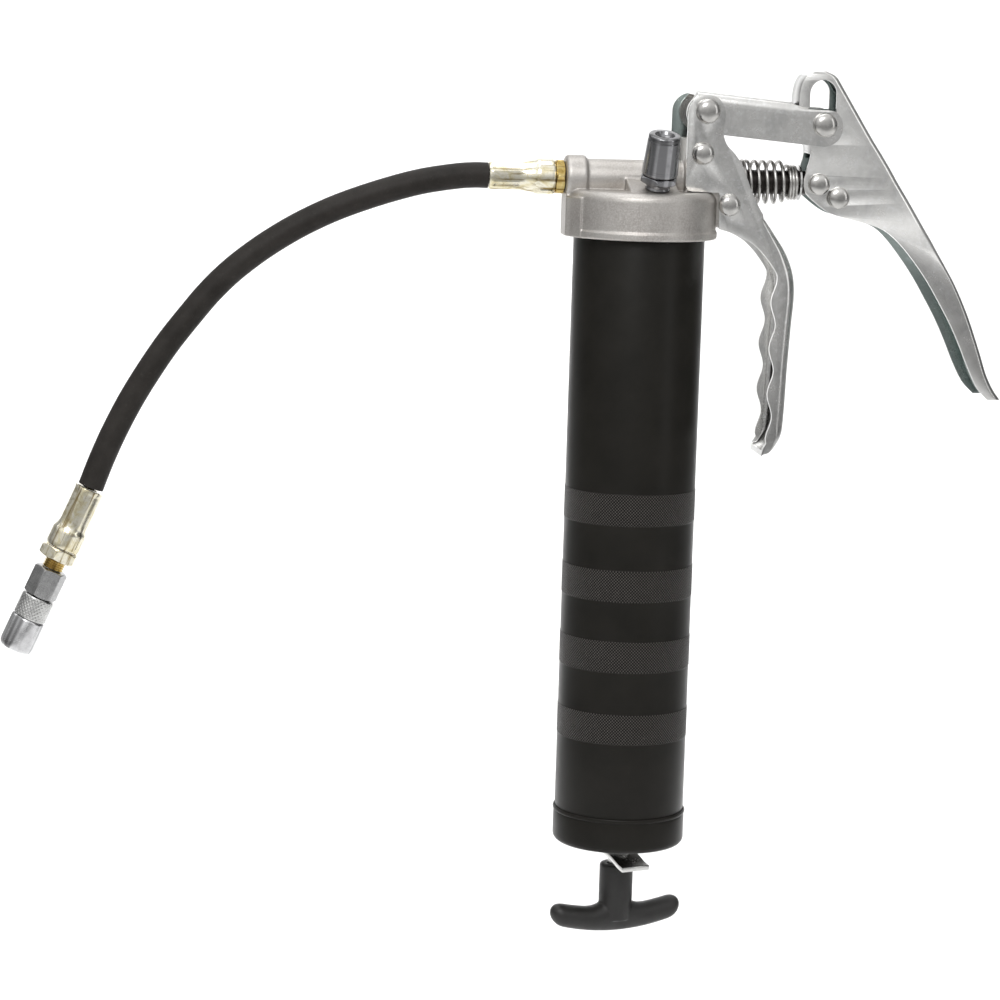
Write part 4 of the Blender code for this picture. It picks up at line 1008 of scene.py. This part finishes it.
# ---------------- squeeze lever
LEVER_ROWS = (
    (72.6, 48.0, 78.2, 48.1, 17.0), (69.0, 46.2, 82.2, 45.9, 17.0), (66.8, 42.6, 85.0, 41.8, 17.0),
    (65.9, 37.5, 88.2, 36.8, 17.0), (66.0, 31.0, 92.0, 30.8, 17.0), (67.6, 24.5, 95.9, 24.6, 17.0),
    (70.6, 18.6, 99.5, 19.0, 17.0), (71.9, 12.6, 103.6, 13.0, 17.0), (70.4, 6.2, 107.6, 6.9, 17.0),
    (69.2, 0.6, 110.9, 1.5, 17.0), (70.4, -4.0, 113.8, -2.9, 17.0), (75.2, -8.4, 116.6, -7.2, 17.4),
    (81.4, -12.4, 119.8, -12.4, 18.4), (88.6, -14.4, 123.0, -17.8, 20.4),
    (96.4, -16.2, 126.2, -23.2, 23.0), (104.6, -19.0, 129.4, -28.9, 25.6),
    (111.0, -24.2, 132.9, -34.9, 27.8), (117.6, -31.8, 136.6, -41.4, 29.2),
    (124.2, -40.8, 140.2, -48.6, 29.8), (130.0, -50.2, 143.6, -56.2, 30.0),
    (135.2, -59.2, 146.8, -64.4, 30.0), (139.6, -68.2, 149.8, -72.6, 30.0),
    (143.8, -77.6, 152.6, -80.4, 29.6), (148.4, -86.2, 156.0, -86.8, 28.4),
    (153.4, -91.4, 159.6, -91.4, 26.6),
)
LOOP_ROWS = 7
LEVER_BEND = 3.2
ROW_STEPS = 3


def channel_section(inner, spine, width, bend, steps):
    run = (spine - inner).normalized()
    half = width / 2
    points = [(inner, -half)]
    turns = [math.pi / 2 * i / steps for i in range(steps + 1)]
    for angle in turns:
        points.append((spine - run * bend * (1 - math.sin(angle)), -half + bend * (1 - math.cos(angle))))
    for angle in reversed(turns):
        points.append((spine - run * bend * (1 - math.sin(angle)), half - bend * (1 - math.cos(angle))))
    points.append((inner, half))
    return [Vector((p.x, y, p.y + PUMP_Z)) for p, y in points]


def make_lever():
    rows = [Vector(row[:3]).to_tuple() + row[3:] for row in LEVER_ROWS]
    inner = smooth_line([(r[0], r[1]) for r in rows], ROW_STEPS)
    spine = smooth_line([(r[2], r[3]) for r in rows], ROW_STEPS)
    width = [p.x for p in smooth_line([(r[4], 0.0) for r in rows], ROW_STEPS)]
    blank = [channel_section(inner[i], spine[i], width[i], LEVER_BEND, 6) for i in range(len(inner))]
    last = len(inner) - 1
    join = LOOP_ROWS * ROW_STEPS

    open_side = offset_line(inner, 3.0)

    def hollow(i, wall, shift=Vector((0, 0))):
        run = (spine[i] - inner[i]).normalized()
        return channel_section(wall + shift, spine[i] - run * LEVER_T + shift,
                               width[i] - 2 * LEVER_T, LEVER_BEND - LEVER_T, 4)

    def web(i):
        return inner[i] + (spine[i] - inner[i]).normalized() * LEVER_T

    loop = [hollow(ROW_STEPS, web(ROW_STEPS), Vector((0, -0.8)))]
    loop += [hollow(i, web(i)) for i in range(ROW_STEPS + 1, join + 2)]
    end = (spine[last] - inner[last]).normalized().orthogonal() * 6.0
    end = end if end.y < 0 else -end
    trough = [hollow(i, Vector(open_side[i])) for i in range(join, last + 1)]
    trough.append(hollow(last, Vector(open_side[last]), end))
    # the lever takes the painted lit zinc, shaded darker towards its bottom
    lever = to_mesh("lever_stamping", loft_mesh(blank), PAINTED_LIT_ZINC)
    slot = arc((76.3, 38.6), 5.85, 0, 180, 32) + arc((76.3, 22.8), 5.85, 180, 360, 32)
    # painted shade: the inner faces of the loop and the trough take the dark copy
    cut(lever, [to_mesh("loop", loft_mesh(loop), PAINTED_SHADE_INNER_ZINC),
                to_mesh("trough", loft_mesh(trough), PAINTED_SHADE_INNER_ZINC),
                to_mesh("slot", across(slot, 20), None), pin_peg(PLUNGER_PIN), pin_peg(LEVER_RIVET)])
    # painted shade: the lever's faces turned to the left above the pump take the darker copy
    lever.data.materials.append(PAINTED_SHADE_SIDE_ZINC)
    for face in lever.data.polygons:
        if face.normal.x < -0.6 and face.material_index == 0 and face.center.z > (PUMP_Z + 5) * MM:
            face.material_index = len(lever.data.materials) - 1
    soften(lever, 0.3, 32.0)
    place(lever, "lever", "zinc_plate", "squeeze_lever")


make_lever()


# ---------------- plunger and return spring
def coil(name, wire_r, count, place_at, centre):
    """A wire mesh through count + 1 places that place_at gives for 0 to 1, about a centre."""
    curve = bpy.data.curves.new(name, "CURVE")
    curve.dimensions = "3D"
    curve.bevel_depth = wire_r * MM
    curve.bevel_resolution = 4
    curve.use_fill_caps = True
    spline = curve.splines.new("POLY")
    spline.points.add(count)
    for i in range(count + 1):
        spline.points[i].co = (*(Vector(place_at(i / count)) * MM), 1.0)
    spline.use_smooth = True
    line = add_object(name, curve, None)
    bpy.context.view_layer.update()
    data = bpy.data.meshes.new_from_object(line)
    bpy.data.objects.remove(line)
    data.shade_smooth()
    return add_object(name, data, SPRING, centre)


def make_spring():
    start, end = 42.2, 67.6

    def radius_at(share):
        return 8.85 if share < 0.62 else max(6.85, 8.85 - 2.0 * (share - 0.62) / 0.12)

    def along_at(share):
        if share < 0.14:
            rise = 0.07 * share / 0.14
        elif share < 0.74:
            rise = 0.07 + 0.80 * (share - 0.14) / 0.60
        else:
            rise = 0.87 + 0.13 * (share - 0.74) / 0.26
        return start + 0.65 + (end - start - 1.3) * rise

    def place_at(share):
        angle = 2 * math.pi * 9 * share
        radius = radius_at(share)
        return along_at(share), radius * math.sin(angle), -radius * math.cos(angle)

    wire = coil("spring_wire", 0.74, 9 * 48, place_at, PUMP_AXIS_POINT)
    place(wire, "gun", "spring_steel", "return_spring")
    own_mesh(wire)


def make_even_spring(name, node, wire_r, radius, turns, per_turn, low, high, base, axis):
    """A spring of one radius from low to high on an axis."""
    turn = turn_to(axis).to_3x3()

    def place_at(share):
        angle = 2 * math.pi * turns * share
        height = low + (high - low) * share
        return turn @ Vector((radius * math.cos(angle), radius * math.sin(angle), height))

    wire = coil(name, wire_r, turns * per_turn, place_at, base)
    place(wire, "gun", "spring_steel", node)
    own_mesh(wire)


FOLLOWER_FOOT = CAP_RIM_Z - CAP_HEIGHT + 4.6

make_spring()
make_even_spring("follower_coil", "follower_spring", 1.1, 17.5, 13, 32, FOLLOWER_FOOT, 148.1,
                 (0, 0, 0), (0, 0, 1))
make_even_spring("filler_coil", "filler_spring", 0.35, 2.2, 4, 24, 8.4, 15.6,
                 FILLER_BASE, FILLER_AXIS)


def make_plunger():
    rod = ((0, 6.4), (PLUNGER_R - 0.6, 6.4), (PLUNGER_R, 7.0), (PLUNGER_R, 78.2), (PLUNGER_R - 0.5, 79.3),
           (PLUNGER_R - 1.5, 80.2), (0, 80.2))
    plunger = to_mesh("plunger_rod", turned_mesh(rod, 64), DARK_STEEL, PUMP_AXIS_POINT, (1, 0, 0))
    cut(plunger, [pin_peg(PLUNGER_PIN)])
    soften(plunger, 0.0, 40.0)
    place(plunger, "plunger", "blackened_steel", "pump_plunger")


make_plunger()


# ---------------- outlet
def make_outlet():
    hexagon_nut("outlet_hexagon", 8.1, 33.6, 37.5, 0.15, GOLD, "yellow_zinc", "outlet_fitting",
                PUMP_AXIS_POINT, OUTLET, 2.6, 6)
    shell = [(3.4, 37.8), (7.1, 37.8), (7.45, 38.1), (7.7, 38.6), (7.7, 44.9), (7.55, 45.4),
             (7.1, 46.4), (6.7, 47.8), (6.5, 49.2), (6.3, 50.4), (6.15, 51.4), (6.1, 64.8), (5.9, 65.5),
             (5.6, 65.9), (3.4, 65.9)]
    ferrule("near_ferrule", shell, (52.5, 64.0), "hose_ferrule_near", PUMP_AXIS_POINT, OUTLET)


make_outlet()


# ---------------- T-handle and rod lock
HANDLE_TOP = CAP_RIM_Z - CAP_HEIGHT - 10.5
HANDLE_FOOT = CAP_RIM_Z - CAP_HEIGHT - 41.3
ARM_REACH = 31.0
ARM_HALF = 5.6
HANDLE_YAW = math.radians(16.0)


def make_handle():
    low = HANDLE_FOOT + ARM_HALF
    top = HANDLE_TOP
    stem = ((0, low), (6.8, low), (7.3, low + 6), (7.4, low + 10), (7.4, top - 0.9), (7.1, top - 0.3),
            (6.6, top), (0, top))
    handle = to_mesh("handle_moulding", turned_mesh(stem, 96), PLASTIC)
    right = [1.0, 3.0, 5.0, 7.0, 9.0, 11.0, 14.0, 17.0, 20.0, 23.0, 25.5, 27.0, 28.2, 29.2, 30.0, 30.6,
             ARM_REACH]
    sections = []
    for x in [-x for x in reversed(right)] + right:
        reach = abs(x) / ARM_REACH
        rise = 4.2 * max(0.0, 1 - abs(x) / 14.0) ** 2
        tip = max(0.0, (abs(x) - (ARM_REACH - ARM_HALF)) / ARM_HALF)
        shrink = math.sqrt(1 - min(tip, 0.985) ** 2)
        height = (ARM_HALF + rise - 0.5 * reach) * shrink
        middle = HANDLE_FOOT + ARM_HALF + rise + 4.6 * reach ** 2
        sections.append([Vector((x, 5.4 * shrink * math.cos(a), middle + height * math.sin(a)))
                         for a in (2 * math.pi * i / 40 for i in range(40))])
    arms = loft_mesh(sections)
    bmesh.ops.rotate(arms, matrix=Matrix.Rotation(HANDLE_YAW, 3, "Z"), verts=arms.verts)
    cut(handle, [to_mesh("arms", arms, None)], "UNION")
    remesh(handle, 0.38, 14)
    cut(handle, [peg(ROD_R + GAP, (0, 0, top - 12.0), (0, 0, top + 3.0))])
    soften(handle, 0.0, 50.0)
    place(handle, "rod", "black_plastic", "t_handle")


TAB_YAW = math.radians(20.0)
TAB_Z = CAP_RIM_Z - CAP_HEIGHT - CAP_DISH - 3.1
TAB_LINE = ((-14.0, 1.2), (-7.5, 1.0), (6.0, -1.6), (13.0, -3.8), (17.5, -4.6))


def tab_place(forward, across, height):
    ahead = Vector((math.sin(TAB_YAW), -math.cos(TAB_YAW), 0))
    aside = Vector((math.cos(TAB_YAW), math.sin(TAB_YAW), 0))
    return ahead * forward + aside * across + Vector((0, 0, TAB_Z + height))


def make_lock_tab():
    line = smooth_line(TAB_LINE, 4)
    upper = [(p.x, p.y + 1.0) for p in line]
    lower = [(p.x, p.y - 1.0) for p in reversed(line)]
    sections = [[tab_place(f, across, h) for f, h in upper + lower] for across in (-6.7, 6.7)]
    tab = to_mesh("lock_plate", loft_mesh(sections), ZINC)
    cut(tab, [peg(ROD_R + 1.1, (0, 0, TAB_Z - 10), (0, 0, TAB_Z + 10))])
    soften(tab, 0.3, 32.0)
    place(tab, "rod_lock", "zinc_plate", "rod_lock_tab")


make_handle()
make_lock_tab()


# ---------------- what stays as the frame has it
NODE_FINISH = {
    ZINC: ("rod_lock_hook",),
    RUBBER: ("follower_cup", "head_gasket", "coupler_seal"),
    SPRING: ("check_spring",),
    STEEL: ("follower_rod", "follower_nut", "follower_washer", "check_ball", "rod_bushing",
            "coupler_jaw_1", "coupler_jaw_2", "coupler_jaw_3", "fulcrum_roller", "lever_spacer",
            "spring_seat", "spring_washer"),
}
for finish, kept_nodes in NODE_FINISH.items():
    for node in kept_nodes:
        for material_slot in cad[node].material_slots:
            material_slot.material = finish


# ---------------- studio, in metres
FLOOR_Z = -0.37
WALL_START = 1.6
WALL_BEND = 1.0
LIGHTS = (
    ("key", (-0.5, -1.6, 1.4), (0, 0, 0.05), (0.9, 0.8), 13.0),
    ("fill", (1.4, -1.1, 0.5), (0, 0, 0.05), (0.4, 1.4), 2.0),
    ("top", (-0.2, 0.2, 1.7), (0, 0, 0.1), (1.4, 1.0), 6.0),
    ("wall", (0.0, 0.9, 1.6), (0.0, 2.6, 0.4), (3.5, 1.2), 45.0),
)


def make_studio():
    scene = bpy.context.scene
    scene.view_settings.view_transform = "Standard"
    mesh = bmesh.new()
    bend = [math.radians(d) for d in range(0, 91, 6)]
    profile = [(-3.0, FLOOR_Z)]
    profile += [(WALL_START + WALL_BEND * math.sin(a), FLOOR_Z + WALL_BEND * (1 - math.cos(a)))
                for a in bend]
    profile.append((WALL_START + WALL_BEND, 4.0))
    rows = [[mesh.verts.new((x, y, z)) for x in (-5.0, 5.0)] for y, z in profile]
    for low, high in zip(rows, rows[1:]):
        mesh.faces.new((low[0], low[1], high[1], high[0]))
    data = bpy.data.meshes.new("studio_floor")
    mesh.to_mesh(data)
    mesh.free()
    data.shade_smooth()
    add_object("studio_floor", data, floor_finish())

    for name, where, target, size, power in LIGHTS:
        light = bpy.data.lights.new(name, "AREA")
        light.shape = "RECTANGLE"
        light.size, light.size_y = size
        light.energy = power
        obj = bpy.data.objects.new(name, light)
        bpy.context.collection.objects.link(obj)
        obj.location = where
        look = Vector(target) - Vector(where)
        obj.rotation_euler = look.to_track_quat("-Z", "Y").to_euler()
    world = bpy.data.worlds.new("studio")
    scene.world = world
    world.use_nodes = True
    tree = world.node_tree
    back = tree.nodes["Background"]
    coords = tree.nodes.new("ShaderNodeTexCoord")
    lean = tree.nodes.new("ShaderNodeVectorMath")
    lean.operation = "DOT_PRODUCT"
    tree.links.new(coords.outputs["Generated"], lean.inputs[0])
    lean.inputs[1].default_value = (-0.2, -0.5, 0.84)
    shift = tree.nodes.new("ShaderNodeMapRange")
    shift.inputs["From Min"].default_value = -1.0
    tree.links.new(lean.outputs["Value"], shift.inputs["Value"])
    ramp = tree.nodes.new("ShaderNodeValToRGB")
    tree.links.new(shift.outputs["Result"], ramp.inputs["Fac"])
    elements = ramp.color_ramp.elements
    elements[0].position, elements[0].color = 0.40, (0.10, 0.103, 0.107, 1.0)
    elements[1].position, elements[1].color = 0.90, (0.92, 0.92, 0.92, 1.0)
    for position, level in ((0.58, 0.22), (0.68, 0.33), (0.75, 0.48)):
        elements.new(position).color = (level, level, level, 1.0)
    tree.links.new(ramp.outputs["Color"], back.inputs["Color"])
    back.inputs["Strength"].default_value = 1.0


make_studio()
